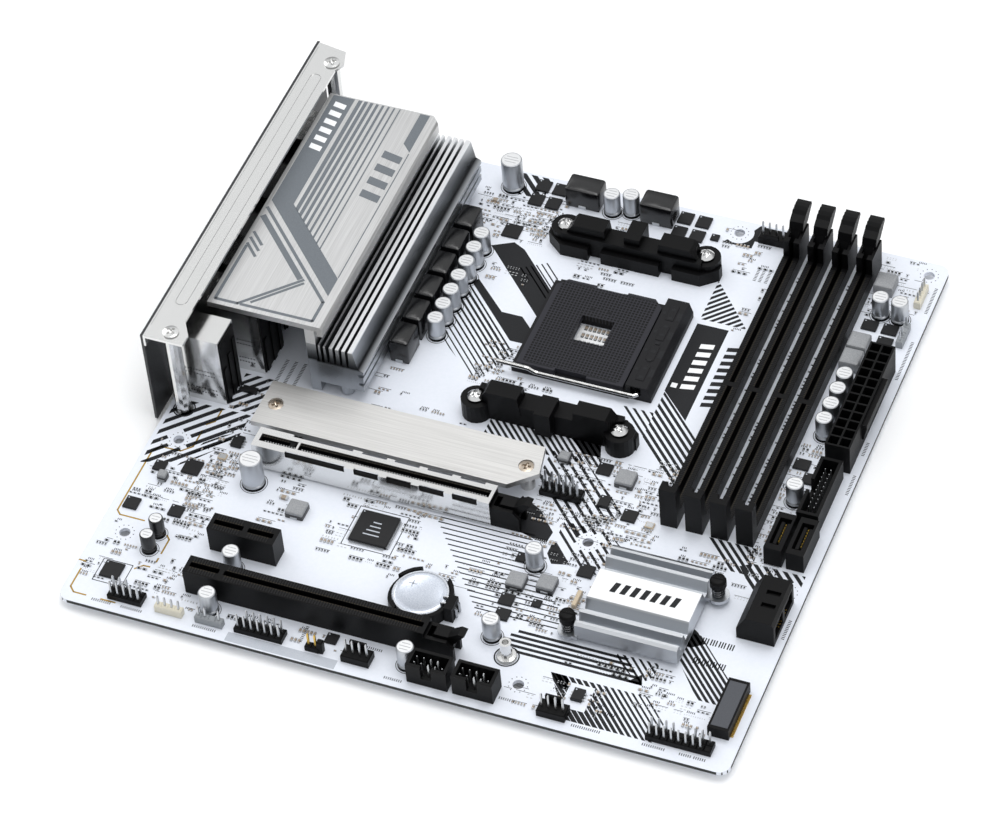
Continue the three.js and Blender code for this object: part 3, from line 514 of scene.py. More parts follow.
# %% The collector
class Build:
    """Collects solids in board millimetres, each with a material slot, for one object."""

    def __init__(self):
        self.points = []
        self.faces = []
        self.slots = []

    def loft(self, rings, slot=0, closed=True):
        """Joins equal rings of points with quads, and closes both ends."""
        start = len(self.points)
        count = len(rings[0])
        for ring in rings:
            self.points += ring
        faces = []
        for level in range(len(rings) - 1):
            low = start + level * count
            for i in range(count):
                j = (i + 1) % count
                faces.append((low + i, low + j, low + count + j, low + count + i))
        if closed:
            faces.append(tuple(range(start + count - 1, start - 1, -1)))
            top = start + (len(rings) - 1) * count
            faces.append(tuple(range(top, top + count)))
        self.faces += faces
        self.slots += [slot] * len(faces)

    def prism(self, outline, z0, z1, slot=0):
        """A flat outline with thickness, whichever way round it is listed."""
        pairs = zip(outline, outline[1:] + outline[:1])
        area = sum(a[0] * b[1] - b[0] * a[1] for a, b in pairs)
        ordered = outline if area > 0 else outline[::-1]
        self.loft([raised(ordered, z0), raised(ordered, z1)], slot)

    def block(self, x0, x1, y0, y1, z0, z1, slot=0, edge=0.15, corner=0.0):
        """A moulded block: chamfered top edges, rounded upright corners where asked."""
        rings = [raised(rectangle(x0, x1, y0, y1, corner), z0),
                 raised(rectangle(x0, x1, y0, y1, corner), z1 - edge),
                 raised(rectangle(x0 + edge, x1 - edge, y0 + edge, y1 - edge, corner * 0.7), z1)]
        self.loft(rings, slot)

    def turned(self, x, y, profile, slot=0, sides=20):
        """A body turned about an upright axis, from radius and height pairs, closed flat."""
        self.loft([raised(circle(x, y, r, sides), z) for r, z in profile], slot)

    def tube(self, path, radius, slot=0, sides=6, tip=1.0):
        """A wire along a path of 3-D points. The last ring can be smaller, for a pointed pin."""
        places = [Vector(p) for p in path]
        rings = []
        for i, p in enumerate(places):
            along = (places[min(i + 1, len(places) - 1)] - places[max(i - 1, 0)]).normalized()
            across = along.cross(Vector((0, 1, 0)) if abs(along.y) < 0.9 else Vector((1, 0,
                    0))).normalized()
            up = across.cross(along)
            size = radius * (tip if i == len(places) - 1 else 1.0)
            ring = []
            for side in range(sides):
                a = 2 * math.pi * (side + 0.5) / sides
                ring.append(tuple(p + (across * math.cos(a) - up * math.sin(a)) * size))
            rings.append(ring)
        self.loft(rings, slot)

    def pin(self, x, y, z0, z1, half=0.32, slot=0):
        """A square pin with a pointed tip."""
        rings = [raised(rectangle(x - half, x + half, y - half, y + half), z0),
                 raised(rectangle(x - half, x + half, y - half, y + half), z1 - 0.5),
                 raised(rectangle(x - half / 2, x + half / 2, y - half / 2, y + half / 2), z1)]
        self.loft(rings, slot)

    def finish(self, name, materials, body="board"):
        """Makes the object, shades its round faces smooth, and fixes it to a body."""
        mesh = bpy.data.meshes.new(name)
        mesh.from_pydata([at(*p) for p in self.points], [], self.faces)
        for material in materials:
            mesh.materials.append(material)
        mesh.polygons.foreach_set("material_index", self.slots)
        mesh.polygons.foreach_set("use_smooth", [True] * len(self.faces))
        mesh.set_sharp_from_angle(angle=math.radians(32))
        made = bpy.data.objects.new(name, mesh)
        bpy.context.scene.collection.objects.link(made)
        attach(made, body)
        return made


print("builder ready")

# %% [markdown]
# ## Printing on the board
# The white mask carries black printing: fans of parallel 45-degree stripes, two wide bands that
# run to the socket, a panel beside it, and a gold line that closes off the audio corner. Ink is
# drawn 0.03 mm thick, a little more than real. Stripes are made by one function: parallel bars,
# cut to a convex region, with gaps left round the mounting holes. Labels are replaced by rows of
# plain ticks.

# %% Stripes and lines
INK = 0.03
HOLES = [(33.02, 237.49), (165.1, 237.49), (237.49, 237.49), (10.16, 80.01),
         (165.1, 80.01), (237.49, 80.01), (10.16, 34.29), (165.1, 13.97)]
HOLE_CLEARANCE = 4.4


def clipped(points, region):
    """The part of a polygon inside a convex region listed anticlockwise."""
    for a, b in zip(region, region[1:] + region[:1]):
        side = [(b[0] - a[0]) * (p[1] - a[1]) - (b[1] - a[1]) * (p[0] - a[0]) for p in points]
        kept = []
        for i, p in enumerate(points):
            q = points[i - 1]
            if side[i] * side[i - 1] < 0:
                t = side[i - 1] / (side[i - 1] - side[i])
                kept.append((q[0] + (p[0] - q[0]) * t, q[1] + (p[1] - q[1]) * t))
            if side[i] >= 0:
                kept.append(p)
        points = kept
        if len(points) < 3:
            return []
    return points


def stripes(build, region, degrees, pitch, width, last_width=None, z=0.0, slot=0):
    """Parallel bars across a convex region, growing or shrinking to the last width."""
    a = math.radians(degrees)
    along = (math.cos(a), math.sin(a))
    across = (-math.sin(a), math.cos(a))
    offsets = [p[0] * across[0] + p[1] * across[1] for p in region]
    count = int((max(offsets) - min(offsets)) / pitch)
    for k in range(count + 1):
        offset = min(offsets) + pitch * (k + 0.5)
        half = (width + ((last_width or width) - width) * k / max(count, 1)) / 2
        cuts = [-400.0]
        for hole in HOLES:
            aside = hole[0] * across[0] + hole[1] * across[1] - offset
            if abs(aside) < HOLE_CLEARANCE:
                middle = hole[0] * along[0] + hole[1] * along[1]
                reach = math.sqrt(HOLE_CLEARANCE ** 2 - aside ** 2)
                cuts += [middle - reach, middle + reach]
        cuts = sorted(cuts) + [400.0]
        for start, end in zip(cuts[::2], cuts[1::2]):
            bar = [(along[0] * t + across[0] * s, along[1] * t + across[1] * s)
                   for t, s in ((start, offset - half), (end, offset - half), (end, offset + half),
                                (start, offset + half))]
            shape = clipped(bar, region)
            if shape:
                build.prism(shape, z, z + INK, slot)


def line(build, path, width, z=0.0, slot=0):
    """A printed line through points, each stretch a little longer than its ends."""
    for a, b in zip(path, path[1:]):
        length = math.dist(a, b)
        if length == 0:
            continue
        u = ((b[0] - a[0]) / length * width / 2, (b[1] - a[1]) / length * width / 2)
        corners = [(a[0] - u[0] * 0.4 + u[1], a[1] - u[1] * 0.4 - u[0]),
                   (b[0] + u[0] * 0.4 + u[1], b[1] + u[1] * 0.4 - u[0]),
                   (b[0] + u[0] * 0.4 - u[1], b[1] + u[1] * 0.4 + u[0]),
                   (a[0] - u[0] * 0.4 - u[1], a[1] - u[1] * 0.4 + u[0])]
        build.prism(corners, z, z + INK, slot)


def frame_line(build, x0, x1, y0, y1, width=0.22):
    """A printed outline round a part."""
    line(build, [(x0, y0), (x1, y0), (x1, y1), (x0, y1), (x0, y0)], width)


print("mounting holes", len(HOLES))

# %% [markdown]
# Each fan of stripes is a convex region, a direction, a pitch and a width. The fans stop at the
# connectors round them, so a region's corners follow those parts.

# %% Stripe regions
print_work = Build()
DOWN = -45
UP = 45
stripes(print_work, [(1.5, 66), (14, 70), (30, 86), (30, 98.5), (1.5, 98.5)], UP, 3.7, 1.7)
stripes(print_work, [(14, 66.5), (30, 86), (30, 90), (20, 84)], UP, 2.6, 0.8)
stripes(print_work, [(20, 99.5), (33, 99.5), (33, 117), (20, 117)], UP, 3.2, 1.5)
stripes(print_work, [(112, 113.5), (158, 113.5), (152, 125.5), (112, 125.5)], DOWN, 1.9, 0.95)
stripes(print_work, [(138, 103), (147, 93), (160, 80), (172, 96), (150, 116), (138, 116)], DOWN, 2.9, 1.1)
stripes(print_work, [(154, 80), (167, 67), (176, 67), (176, 82), (170, 86.5), (154, 86.5)], DOWN, 2.6, 1.0)
stripes(print_work, [(166, 131.2), (184.5, 112.7), (184.5, 136), (166, 154.5)], DOWN, 2.15, 1.15)
stripes(print_work, [(153.5, 143.7), (166, 131.2), (166, 143.7)], DOWN, 2.3, 0.9)
stripes(print_work, [(166, 192), (183.5, 192), (166, 212)], UP, 2.1, 1.15)
stripes(print_work, [(79, 156), (100, 138.5), (108, 155.5), (80.5, 183)], DOWN, 1.9, 0.45, 1.0)
stripes(print_work, [(94, 196), (110, 184), (110, 196), (104, 202)], DOWN, 1.9, 0.5)
stripes(print_work, [(78, 232), (90, 232), (90, 243), (78, 243)], DOWN, 3.1, 1.8)
stripes(print_work, [(185, 4.8), (217, 4.8), (217, 15), (209, 22.5), (173.5, 22.5)], DOWN, 1.72, 1.6, 0.5)
stripes(print_work, [(212.8, 40), (224, 26.5), (231, 26.5), (231, 38), (216, 53), (212.8, 53)],
        DOWN, 1.75, 1.0)
stripes(print_work, [(192, 35), (203, 26.5), (207, 31), (207, 37), (192, 37)], DOWN, 2.0, 0.8)
stripes(print_work, [(203, 95.2), (216, 83), (222, 83), (222, 95.2)], DOWN, 2.2, 1.1)
stripes(print_work, [(218, 86), (227, 75.5), (241, 80), (241, 88.5), (222, 88.5)], DOWN, 2.5, 1.3)
print("stripe shapes", len(print_work.faces) // 6)

# %% [markdown]
# The wide black shapes between the fans are plain polygons. A dark panel wraps round the hole by
# the processor fan header, a ladder of thin lines and five wider bars run past the storage plate,
# and each mounting hole has a ring of dots.

# %% Bands, panels and dots
BANDS = [
    [(80.5, 204), (88, 208), (93, 205.5), (110, 188.5), (110, 174.5)],
    [(80.5, 184.5), (82.5, 186.5), (96.5, 173.5), (104.5, 173.5), (110, 168.3), (110, 161), (104.5, 161)],
    [(165.8, 189.6), (177.7, 189.6), (177.7, 143.5), (165.8, 155)],
    [(131, 80), (147.5, 75.5), (151.5, 75.5), (152, 80.5), (144, 89), (136, 93)],
    [(153.5, 76.5), (155, 76.5), (162.8, 68.5), (156.5, 67), (153.5, 71)],
    [(212.8, 55), (214.5, 54), (218.5, 50), (214.5, 47), (212.8, 47)],
    [(173.5, 22.5), (179, 22.5), (185, 17), (179, 17)],
    [(203, 31), (199, 26.4), (204.5, 26.4)],
    [(140, 125.5), (153, 125.5), (155.5, 118), (149, 118)],
]
for band in BANDS:
    print_work.prism(band, 0, INK)
hole_x, hole_y = HOLES[1]
around_hole = [(hole_x + 5.4 * math.cos(a), hole_y + 5.4 * math.sin(a))
               for a in [math.radians(30 - 13 * k) for k in range(13)]]
near_fan = [(160.5, 231.2), (171.8, 231.2), (171.8, 235), (173.4, 235), (173.4, 243.2), (171.4, 243.2)]
print_work.prism(near_fan + around_hole, 0, INK)
for k in range(18):
    left = 112.5 + 1.75 * max(k - 2, 0)
    line(print_work, [(left, 77.2 - 2.15 * k), (left + 34, 77.2 - 2.15 * k)], 0.5)
for k in range(5):
    right = 196 + 2 * k
    line(print_work, [(153 + 2 * abs(k - 2), 35.6 - 2.15 * k), (right, 35.6 - 2.15 * k)], 1.15)
for hole in HOLES:
    for x, y in circle(*hole, 3.3, 12):
        print_work.prism(circle(x, y, 0.21, 6), 0, INK)
print("bands", len(BANDS))

# %% [markdown]
# The audio corner is fenced by a gold-coloured line, drawn as a thin strip of bare metal. The
# pale rectangle on the header edge is a blank label area. Plain bars take the place of the
# names on the panel by the socket.

# %% Gold line, label area and plain bars
gold_line = Build()
AUDIO_FENCE = [
    [(19, 98.5), (19, 92), (16.5, 89.6)],
    [(16.4, 86.5), (16.4, 78.5), (13, 75.2), (5.5, 75), (3.3, 72), (3.3, 43), (5, 41.3), (14.5, 41.3)],
    [(24.8, 37.6), (26.4, 36), (26.4, 29.2)],
    [(26.4, 27), (26.4, 25.2)],
    [(25.2, 22.5), (22.8, 22.4), (20.4, 20.1)],
    [(0.3, 18), (3, 18)],
    [(2.6, 14.5), (2.6, 6), (4.7, 4), (9.4, 4)],
    [(15, 4), (20.5, 4)],
]
for stretch in AUDIO_FENCE:
    line(gold_line, stretch, 0.6)
gold_line.finish("audio_fence_line", [dull_gold])

label_area = Build()
label_area.block(63, 103.5, 0.5, 4.4, 0, INK, edge=0.01)
label_area.finish("header_edge_label_area", [grey_ink])

plain_bars = Build()
for k in range(6):
    y = 157.5 + 4.1 * k
    plain_bars.prism([(170.5, y), (175.5, y + 1), (175.5, y + 3.3), (170.5, y + 2.3)], INK, 2 * INK)
plain_bars.block(167, 169.2, 157.4, 159.6, INK, 2 * INK, edge=0.01)
plain_bars.finish("panel_plain_bars", [white_paint])
for k in range(9):
    y = 151.5 + 3.5 * k
    print_work.prism([(180.2, y), (184.2, y + 1), (184.2, y + 3), (180.2, y + 2)], 0, INK)


def ticks(build, x, y, count, upright=False, height=1.1, step=0.75, thick=0.3):
    """A row of plain ticks where a label would be."""
    for k in range(count):
        if upright:
            build.block(x, x + height, y + k * step, y + k * step + thick, 0, INK, edge=0.01)
        else:
            build.block(x + k * step, x + k * step + thick, y, y + height, 0, INK, edge=0.01)


for x, y, count in ((12, 2.6, 10), (23, 2.6, 11), (50, 2.6, 12), (66, 12.6, 7), (106, 12.4, 14),
                    (121, 2.2, 9), (161, 6.2, 10), (188, 2.9, 14), (213, 2.8, 11), (226, 2.8, 6),
                    (231, 2.8, 6), (197, 11, 5)):
    ticks(print_work, x, y, count)
for x, y, count in ((241.4, 185, 26), (241.4, 219, 18), (241.8, 60, 12), (241.8, 128, 13),
                    (241.4, 147, 9), (33.4, 100, 22), (177.5, 216, 9), (179.5, 216, 9), (181.8, 216, 9),
                    (87.4, 8, 10)):
    ticks(print_work, x, y, count, upright=True)
for x in (31.2, 34.6, 38.2):
    ticks(print_work, x, 116.8, 15, upright=True, height=1.3)
for k in range(8):
    ticks(print_work, 217 + 3 * (k % 4), 41 + 9 * (k // 4), 3, height=2.6, step=0.9, thick=0.45)
print("gold stretches", len(AUDIO_FENCE))

# %% [markdown]
# ## Chips
# Power switches sit in groups near the chokes, controllers near what they serve. Each
# is a black epoxy body with a drafted edge and a pin-one dot. Small-outline bodies have leads on
# two sides, quad flat packs on all four, and the rest have flush pads that just show.

# %% Chip packages
CLAIMED = []


def claim(x0, x1, y0, y1, margin=0.4):
    """Marks board area as taken, so that small parts keep clear of it."""
    CLAIMED.append((x0 - margin, x1 + margin, y0 - margin, y1 + margin))


def chip(build, x, y, width, depth, height=0.9, leads="flush", pitch=0.65):
    """A package about its centre. Slots: 0 epoxy, 1 tin, 2 pale mark."""
    x0, x1, y0, y1 = x - width / 2, x + width / 2, y - depth / 2, y + depth / 2
    reach = {"flush": 0.12, "pair": 1.0, "quad": 1.1}[leads]
    claim(x0 - reach, x1 + reach, y0 - reach, y1 + reach)
    build.block(x0, x1, y0, y1, 0.12, height, 0, edge=0.1)
    build.turned(x0 + 0.8, y1 - 0.8, [(0.3, height - 0.02), (0.3, height + 0.01)], 2, 10)
    half = pitch * 0.27
    for k in range(int((depth - 0.6) / pitch)):
        c = y0 + 0.3 + pitch * (k + 0.6)
        for side, edge in ((-1, x0), (1, x1)):
            lead(build, (edge, c), (side, 0), half, reach, leads)
    if leads == "pair":
        return
    for k in range(int((width - 0.6) / pitch)):
        c = x0 + 0.3 + pitch * (k + 0.6)
        for side, edge in ((-1, y0), (1, y1)):
            lead(build, (c, edge), (0, side), half, reach, leads)


def lead(build, foot, way, half, reach, leads):
    """One lead: a flush pad, or a gull wing that steps down to the board."""
    x, y = foot
    u, v = way
    if leads == "flush":
        ax, bx = sorted((x - u * 0.2, x + u * reach))
        ay, by = sorted((y - v * 0.2, y + v * reach))
        build.block(ax - half * abs(v), bx + half * abs(v), ay - half * abs(u), by + half * abs(u),
                    0.01, 0.2, 1, 0.03)
        return
    profile = [(0, 0.75), (0.35, 0.75), (0.6, 0.12), (reach, 0.12), (reach, 0.02), (0.45, 0.02),
               (0.25, 0.6), (0, 0.6)]
    rings = []
    for side in (-half, half):
        rings.append([(x + u * d + v * side, y + v * d - u * side, z) for d, z in profile])
    build.loft(rings[::-1], 1)


CHIP_FINISH = [epoxy, tin, grey_ink]
switches = Build()
for x, y in ((88, 230.7), (88, 238.2), (94.7, 230.7), (94.7, 238.2), (144, 230.7), (144, 238.2),
             (151, 230.7), (151, 238.2)):
    chip(switches, x, y, 5.2, 5.6, 1.0, pitch=1.27)
for x, y in ((225, 207), (232.5, 207), (232.5, 200.5), (223.5, 136.2), (228.5, 130.5)):
    chip(switches, x, y, 5.6, 4.8, 1.0, pitch=1.27)
switches.finish("power_switches", CHIP_FINISH)

controllers = Build()
for x, y, size in ((85.3, 212.7, 6.5), (159, 113, 5.2), (174.7, 95.3, 5.2), (169.3, 67.2, 5.4),
                   (146, 66, 3.4), (148, 47, 5), (149, 40.5, 5), (158.4, 48.5, 3.2), (20.5, 69, 6.4),
                   (9.2, 66.2, 4.4), (7, 47.2, 5.2), (23.5, 48.5, 5), (157.5, 232, 3), (98, 12.3, 4.2),
                   (13.5, 16.8, 7)):
    chip(controllers, x, y, size, size, 0.95, pitch=0.5)
controllers.finish("controller_chips", CHIP_FINISH)

outlines = Build()
for x, y in ((164.3, 98.5), (31, 85), (186, 15.5)):
    chip(outlines, x, y, 3.9, 4.9, 1.5, "pair", 1.27)
chip(outlines, 24.6, 109.3, 6.6, 2.4, 1.5, "pair", 1.27)
outlines.finish("small_outline_chips", CHIP_FINISH)

monitor_chip = Build()
chip(monitor_chip, 93, 62, 14, 14, 1.5, "quad", 0.5)
for k in range(4):
    monitor_chip.block(90 + 0.6 * k, 96 - 0.4 * k, 58.4 + 1.9 * k, 58.9 + 1.9 * k, 1.5, 1.52, 2, edge=0.005)
monitor_chip.finish("monitor_chip", CHIP_FINISH)
for x0, x1, y0, y1 in ((84, 102.3, 53, 71.2), (8.4, 19.4, 11.2, 21.2), (88.8, 98.6, 233.5, 236)):
    frame_line(print_work, x0, x1, y0, y1, 0.3)
print("areas taken", len(CLAIMED))

# %% [markdown]
# ## Chokes and inductors
# Six black power chokes stand in a row beside the heatsink and two larger ones behind the upper
# bracket: pressed iron powder under a smooth black skin, with rounded corners. Three low grey ones
# stand by the memory. The small inductors are grey alloy blocks with a pale top and a dark skirt.


# %% Chokes
def choke(name, x0, x1, y0, y1, height, finish, corner=0.9):
    """A pressed block with tinned feet. Slots: 0 body, 1 tin, 2 skirt."""
    build = Build()
    claim(x0, x1, y0, y1)
    build.loft([raised(rectangle(x0 + d, x1 - d, y0 + d, y1 - d, corner), z)
                for d, z in ((0.25, 0.2), (0, 0.8), (0, height - 0.9), (0.25, height - 0.35),
                             (0.8, height))])
    middle = (x0 + x1) / 2
    for y in (y0 - 0.15, y1 - 0.25):
        build.block(middle - 1.4, middle + 1.4, y, y + 0.4, 0.02, 1.6, 1, edge=0.1)
    build.block(x0 + 0.3, x1 - 0.3, y0 + 0.3, y1 - 0.3, 0.02, 0.4, 2, edge=0.05)
    build.finish(name, [finish, tin, dark_ink])


for k in range(6):
    choke(f"power_choke_{k + 1}", 67, 74.5, 138.7 + 12.5 * k, 149.6 + 12.5 * k, 10.4, choke_skin)
choke("upper_choke_1", 98.9, 112.4, 231.6, 240.4, 9, choke_skin)
choke("upper_choke_2", 128.2, 141, 231.6, 240.4, 9.5, choke_skin)
for k, y in enumerate((222.6, 191.6, 183.2)):
    choke(f"memory_choke_{k + 1}", 221, 228.3, y, y + 7.6, 5, grey_alloy, 0.3)


def small_inductor(build, x, y, size, height=3.0):
    """A pale top plate over a dark skirt. Slots: 0 pale, 1 dark, 2 tin."""
    half = size / 2
    claim(x - half, x + half, y - half, y + half)
    build.block(x - half, x + half, y - half, y + half, 0.05, height - 1.1, 1, edge=0.2, corner=0.5)
    build.block(x - half + 0.1, x + half - 0.1, y - half + 0.1, y + half - 0.1, height - 1.1, height, 0,
                0.25, 0.5)
    for side in (-1, 1):
        build.block(x - 1.3, x + 1.3, y + side * half - 0.12, y + side * half + 0.12, 0.02, 1.0, 2, 0.05)


inductors = Build()
for x, y, size in ((64, 61.5, 6.8), (168, 110, 6.8), (148.6, 55, 6.4), (159, 57, 6.4), (144, 113, 4),
                   (12.5, 61.5, 3.4)):
    small_inductor(inductors, x, y, size)
inductors.finish("small_inductors", [grey_alloy, ferrite, tin])
print("chokes and inductors placed")

# %% [markdown]
# ## Capacitor cans
# Polymer cans are drawn aluminium, crimped near the foot over a black seal, with a flat top and
# a rolled shoulder. Two audio cans near the rear edge wear a black sleeve instead, and show
# silver only on top. Pale bars on the tops stand in for the print, and a dark ring is printed
# round each foot.


# %% Cans
def can(name, x, y, radius, height, sleeve=False):
    """One can. Slots: 0 wall, 1 seal, 2 top, 3 marks."""
    build = Build()
    claim(x - radius, x + radius, y - radius, y + radius, 0.6)
    r = radius
    build.turned(x, y, [(r + 0.15, 0.02), (r + 0.15, 0.7), (r - 0.3, 0.75)], 1, 28)
    wall = [(r - 0.25, 0.7), (r, 1.0), (r, 1.5), (r - 0.3, 1.9), (r - 0.3, 2.2), (r, 2.6),
            (r, height - 0.7), (r - 0.12, height - 0.25), (r - 0.45, height)]
    build.loft([raised(circle(x, y, reach, 28), z) for reach, z in wall], 0, closed=False)
    build.prism(circle(x, y, r - 0.42, 28), height - 0.4, height - 0.1, 2)
    marks = 3 if not sleeve else 2
    for k in range(marks):
        offset = (k - (marks - 1) / 2) * 1.3
        reach = (r - 1.1) * (0.75 if k != 1 else 1.0)
        build.block(x - reach, x + reach, y + offset - 0.16, y + offset + 0.16,
                    height - 0.11, height - 0.07, 3, 0.01)
    wall_finish = black_sleeve if sleeve else can_lacquer
    build.finish(name, [wall_finish, black_nylon, can_top, pale_mark])
    ring = circle(x, y, r + 0.75, 28)
    line(print_work, ring + ring[:1], 0.22)


CAN_HEIGHT = 9.8
CANS = [(78.6, 155.4 + 7.5 * k) for k in range(7)]
CANS += [(226.4, 151.8 + 7.5 * k) for k in range(4)]
CANS += [(117, 233.6), (123.9, 235.4), (226.9, 213.4), (234.2, 213.2), (226.6, 119.6)]
CANS += [(53, 11.2), (53.2, 30.8), (126.4, 10.2), (151.8, 64.3), (149.2, 30.6)]
for number, (x, y) in enumerate(CANS):
    can(f"polymer_can_{number + 1}", x, y, 3.15, CAN_HEIGHT)
can("tall_can_1", 77.1, 235.2, 4, 14)
can("tall_can_2", 44, 69.3, 4.1, 13)
can("audio_can_1", 21.7, 37.3, 2.6, 8.5, sleeve=True)
can("audio_can_2", 21.7, 29.8, 2.6, 8.5, sleeve=True)
print("cans", len(CANS) + 4)

# %% [markdown]
# ## Pin headers and fan headers
# A header is a black nylon strip, notched between its cells, with square pins on a 2.54 mm
# pitch. Fan headers add a tall back wall for the plug's latch. The light strips have cream or
# grey bodies. Pins that are left out, so that a plug only fits one way, are left out here too.

# %% Headers
PITCH = 2.54


def pin_header(name, x0, y0, columns, rows, finish, top=8.4, missing=(), body_height=2.5, turn=False,
               pin=None):
    """A strip of cells with pins. Slots: 0 body, 1 pin. It can run along Y instead."""
    build = Build()
    across, deep = (rows, columns) if turn else (columns, rows)
    claim(x0, x0 + PITCH * across, y0, y0 + PITCH * deep, 0.8)
    for i in range(across):
        for j in range(deep):
            x = x0 + PITCH * i
            y = y0 + PITCH * j
            build.block(x, x + PITCH, y, y + PITCH, 0.05, body_height, 0, edge=0.35)
            if (i, j) in missing:
                continue
            build.pin(x + PITCH / 2, y + PITCH / 2, -3, top, 0.32, 1)
    build.finish(name, [finish, pin or tin])


def fan_header(name, x0, y0, pins=4, wall_side=1, wall=6.4):
    """A low base with a latch wall on one side and a row of pins. Slots: 0 body, 1 pin."""
    build = Build()
    width = PITCH * pins
    claim(x0, x0 + width, y0, y0 + 5.8, 0.8)
    build.block(x0, x0 + width, y0, y0 + 5.6, 0.05, 3.2, 0, edge=0.3)
    wall_y = y0 + 4.5 if wall_side > 0 else y0
    build.block(x0 + 1.8, x0 + width - 2.4, wall_y, wall_y + 1.1, 3.2, wall, 0, edge=0.25)
    for k in range(pins):
        build.pin(x0 + PITCH * (k + 0.5), y0 + 2.6, -3, 9.2, 0.32, 1)
    build.finish(name, [black_nylon, tin])


pin_header("front_audio_header", 17.2, 4.8, 5, 2, black_nylon, missing=((3, 1),))
pin_header("strip_header_lower", 35.2, 4.6, 4, 1, cream_nylon, 7.5, body_height=3.4)
pin_header("strip_header_grey", 50.3, 4.6, 4, 1, grey_nylon, 7.5, missing=((2, 0),), body_height=3.2)
pin_header("module_header", 64.8, 4.8, 7, 2, black_nylon, missing=((0, 1),))
pin_header("clear_jumper", 91, 5, 2, 1, black_nylon, 8, pin=brass_gold)
pin_header("panel_header", 213.4, 5.2, 9, 2, black_nylon, missing=((4, 1), (8, 0)))
pin_header("card_header", 141.2, 95.2, 6, 2, black_nylon, 9.5, missing=((5, 1),))
pin_header("strip_header_upper", 237, 220.2, 4, 1, cream_nylon, 7.5, body_height=3.4, turn=True)
pin_header("strip_header_side", 236.8, 199.8, 4, 1, grey_nylon, 7.5, missing=((0, 2),), body_height=3.2,
           turn=True)
fan_header("case_fan_header_1", 104.5, 4.4)
fan_header("case_fan_header_2", 175.5, 3.4)
fan_header("processor_fan_header", 173.2, 234.6, wall_side=-1, wall=5)

jumper_cap = Build()
jumper_cap.block(95.4, 97.6, 5.2, 7.5, 0.05, 5.5, 0, edge=0.4, corner=0.3)
jumper_cap.finish("jumper_cap", [black_nylon])

boxed_pins = Build()
for number in (1, 2):
    x0, x1, y0, y1, _, _ = span(f"boxed_usb_header_{number}")
    for i in range(5):
        for j in range(2):
            if (i, j) != (4, 1):
                x = (x0 + x1) / 2 + PITCH * (i - 2)
                boxed_pins.pin(x, (y0 + y1) / 2 + PITCH * (j - 0.5), -3, 8.2, 0.32)
x0, x1, y0, y1, _, _ = span("front_usb_header")
for i in range(10):
    for j in range(2):
        boxed_pins.pin((x0 + x1) / 2 + 2 * (j - 0.5), (y0 + y1) / 2 + 2 * (i - 4.5), -3, 8, 0.25)
boxed_pins.finish("boxed_header_pins", [tin])
print("headers placed")

# %% [markdown]
# ## Contacts in the long slots
# The card and memory slots show a comb along both sides of the groove: a pocket in the plastic
# for every contact, with a bronze spring leaf inside. Each pocket is drawn as a dark cell between
# ribs: the ribs are raised 0.12 mm in a lighter black than the slot, so the cells read as painted
# shade, and the leaf is a thin bronze strip on the groove's lip, painted near-black as the shade
# it sits in.


# %% Slot combs
MEMORY_TOP = 6
CARD_TOP = 11.25
CARD_ROWS = {"lower": (19.69, 130), "short": (40.01, 66), "upper": (80.65, 130)}


def comb(name, start, end, fixed, half, groove, top, pitch, along="Y", gap=()):
    """Ribs and leaves on both sides of a groove, painting the pockets' shade. Slots: 0 rib plastic, 1 leaf.
    """
    build = Build()
    count = int((end - start) / pitch)
    for k in range(count):
        c = start + pitch * (k + 0.5)
        if gap and gap[0] < c < gap[1]:
            continue
        for side in (-1, 1):
            inner = sorted((fixed + side * (groove + 0.05), fixed + side * (groove + 0.45)))
            outer = sorted((fixed + side * (groove + 0.5), fixed + side * (half - 0.35)))
            for (a, b), rise, slot, width in ((inner, 0.03, 1, 0.5), (outer, 0.12, 0, 0.42)):
                low, high = c - pitch * width / 2, c + pitch * width / 2
                if along == "Y":
                    build.block(a, b, low, high, top - 0.02, top + rise, slot, 0.02)
                else:
                    build.block(low, high, a, b, top - 0.02, top + rise, slot, 0.02)
    build.finish(name, [rib_plastic, leaf_in_painted_shade])


for number in range(4):
    x0, x1, _, _, _, _ = span(f"memory_slot_{number + 1}")
    comb(f"memory_contacts_{number + 1}", 101, 225, (x0 + x1) / 2, (x1 - x0) / 2, 0.9, MEMORY_TOP, 0.85,
         gap=(158.6, 161.4))
for name, (row, end) in CARD_ROWS.items():
    comb(f"card_contacts_{name}", 43.4, end - 0.8, row, 3.75, 1.05, CARD_TOP, 1.0, "X", gap=(53.2, 56.8))
print("combs placed")

# %% [markdown]
# The steel sleeve over the upper slot has a bridge where the card's key sits, and the tips of the
# contact leaves shine in its mouth.

# %% Sleeve bridge and leaf tips
SLEEVED_ROW = CARD_ROWS["upper"][0]
sleeve_top = span("card_slot_sleeve")[5]
sleeve_trim = Build()
sleeve_trim.block(56.8, 57.8, SLEEVED_ROW - 1.75, SLEEVED_ROW + 1.75, sleeve_top - 0.55, sleeve_top - 0.03,
                  0)
for k in range(84):
    x = 45 + k
    if not 56 < x < 58.5:
        sleeve_trim.block(x, x + 0.4, SLEEVED_ROW - 1.1, SLEEVED_ROW - 0.7, 11, 11.5, 1, edge=0.03)
sleeve_trim.finish("sleeve_trim", [nickel, tin])
print("sleeve top", round(sleeve_top, 2), "mm")

# %% [markdown]
# ## The socket's window and cam
# Through the window in the socket cover the board shows white, with three rows of tiny
# decoupling capacitors. The cam box beside it has a row of square pockets and shallow steps.

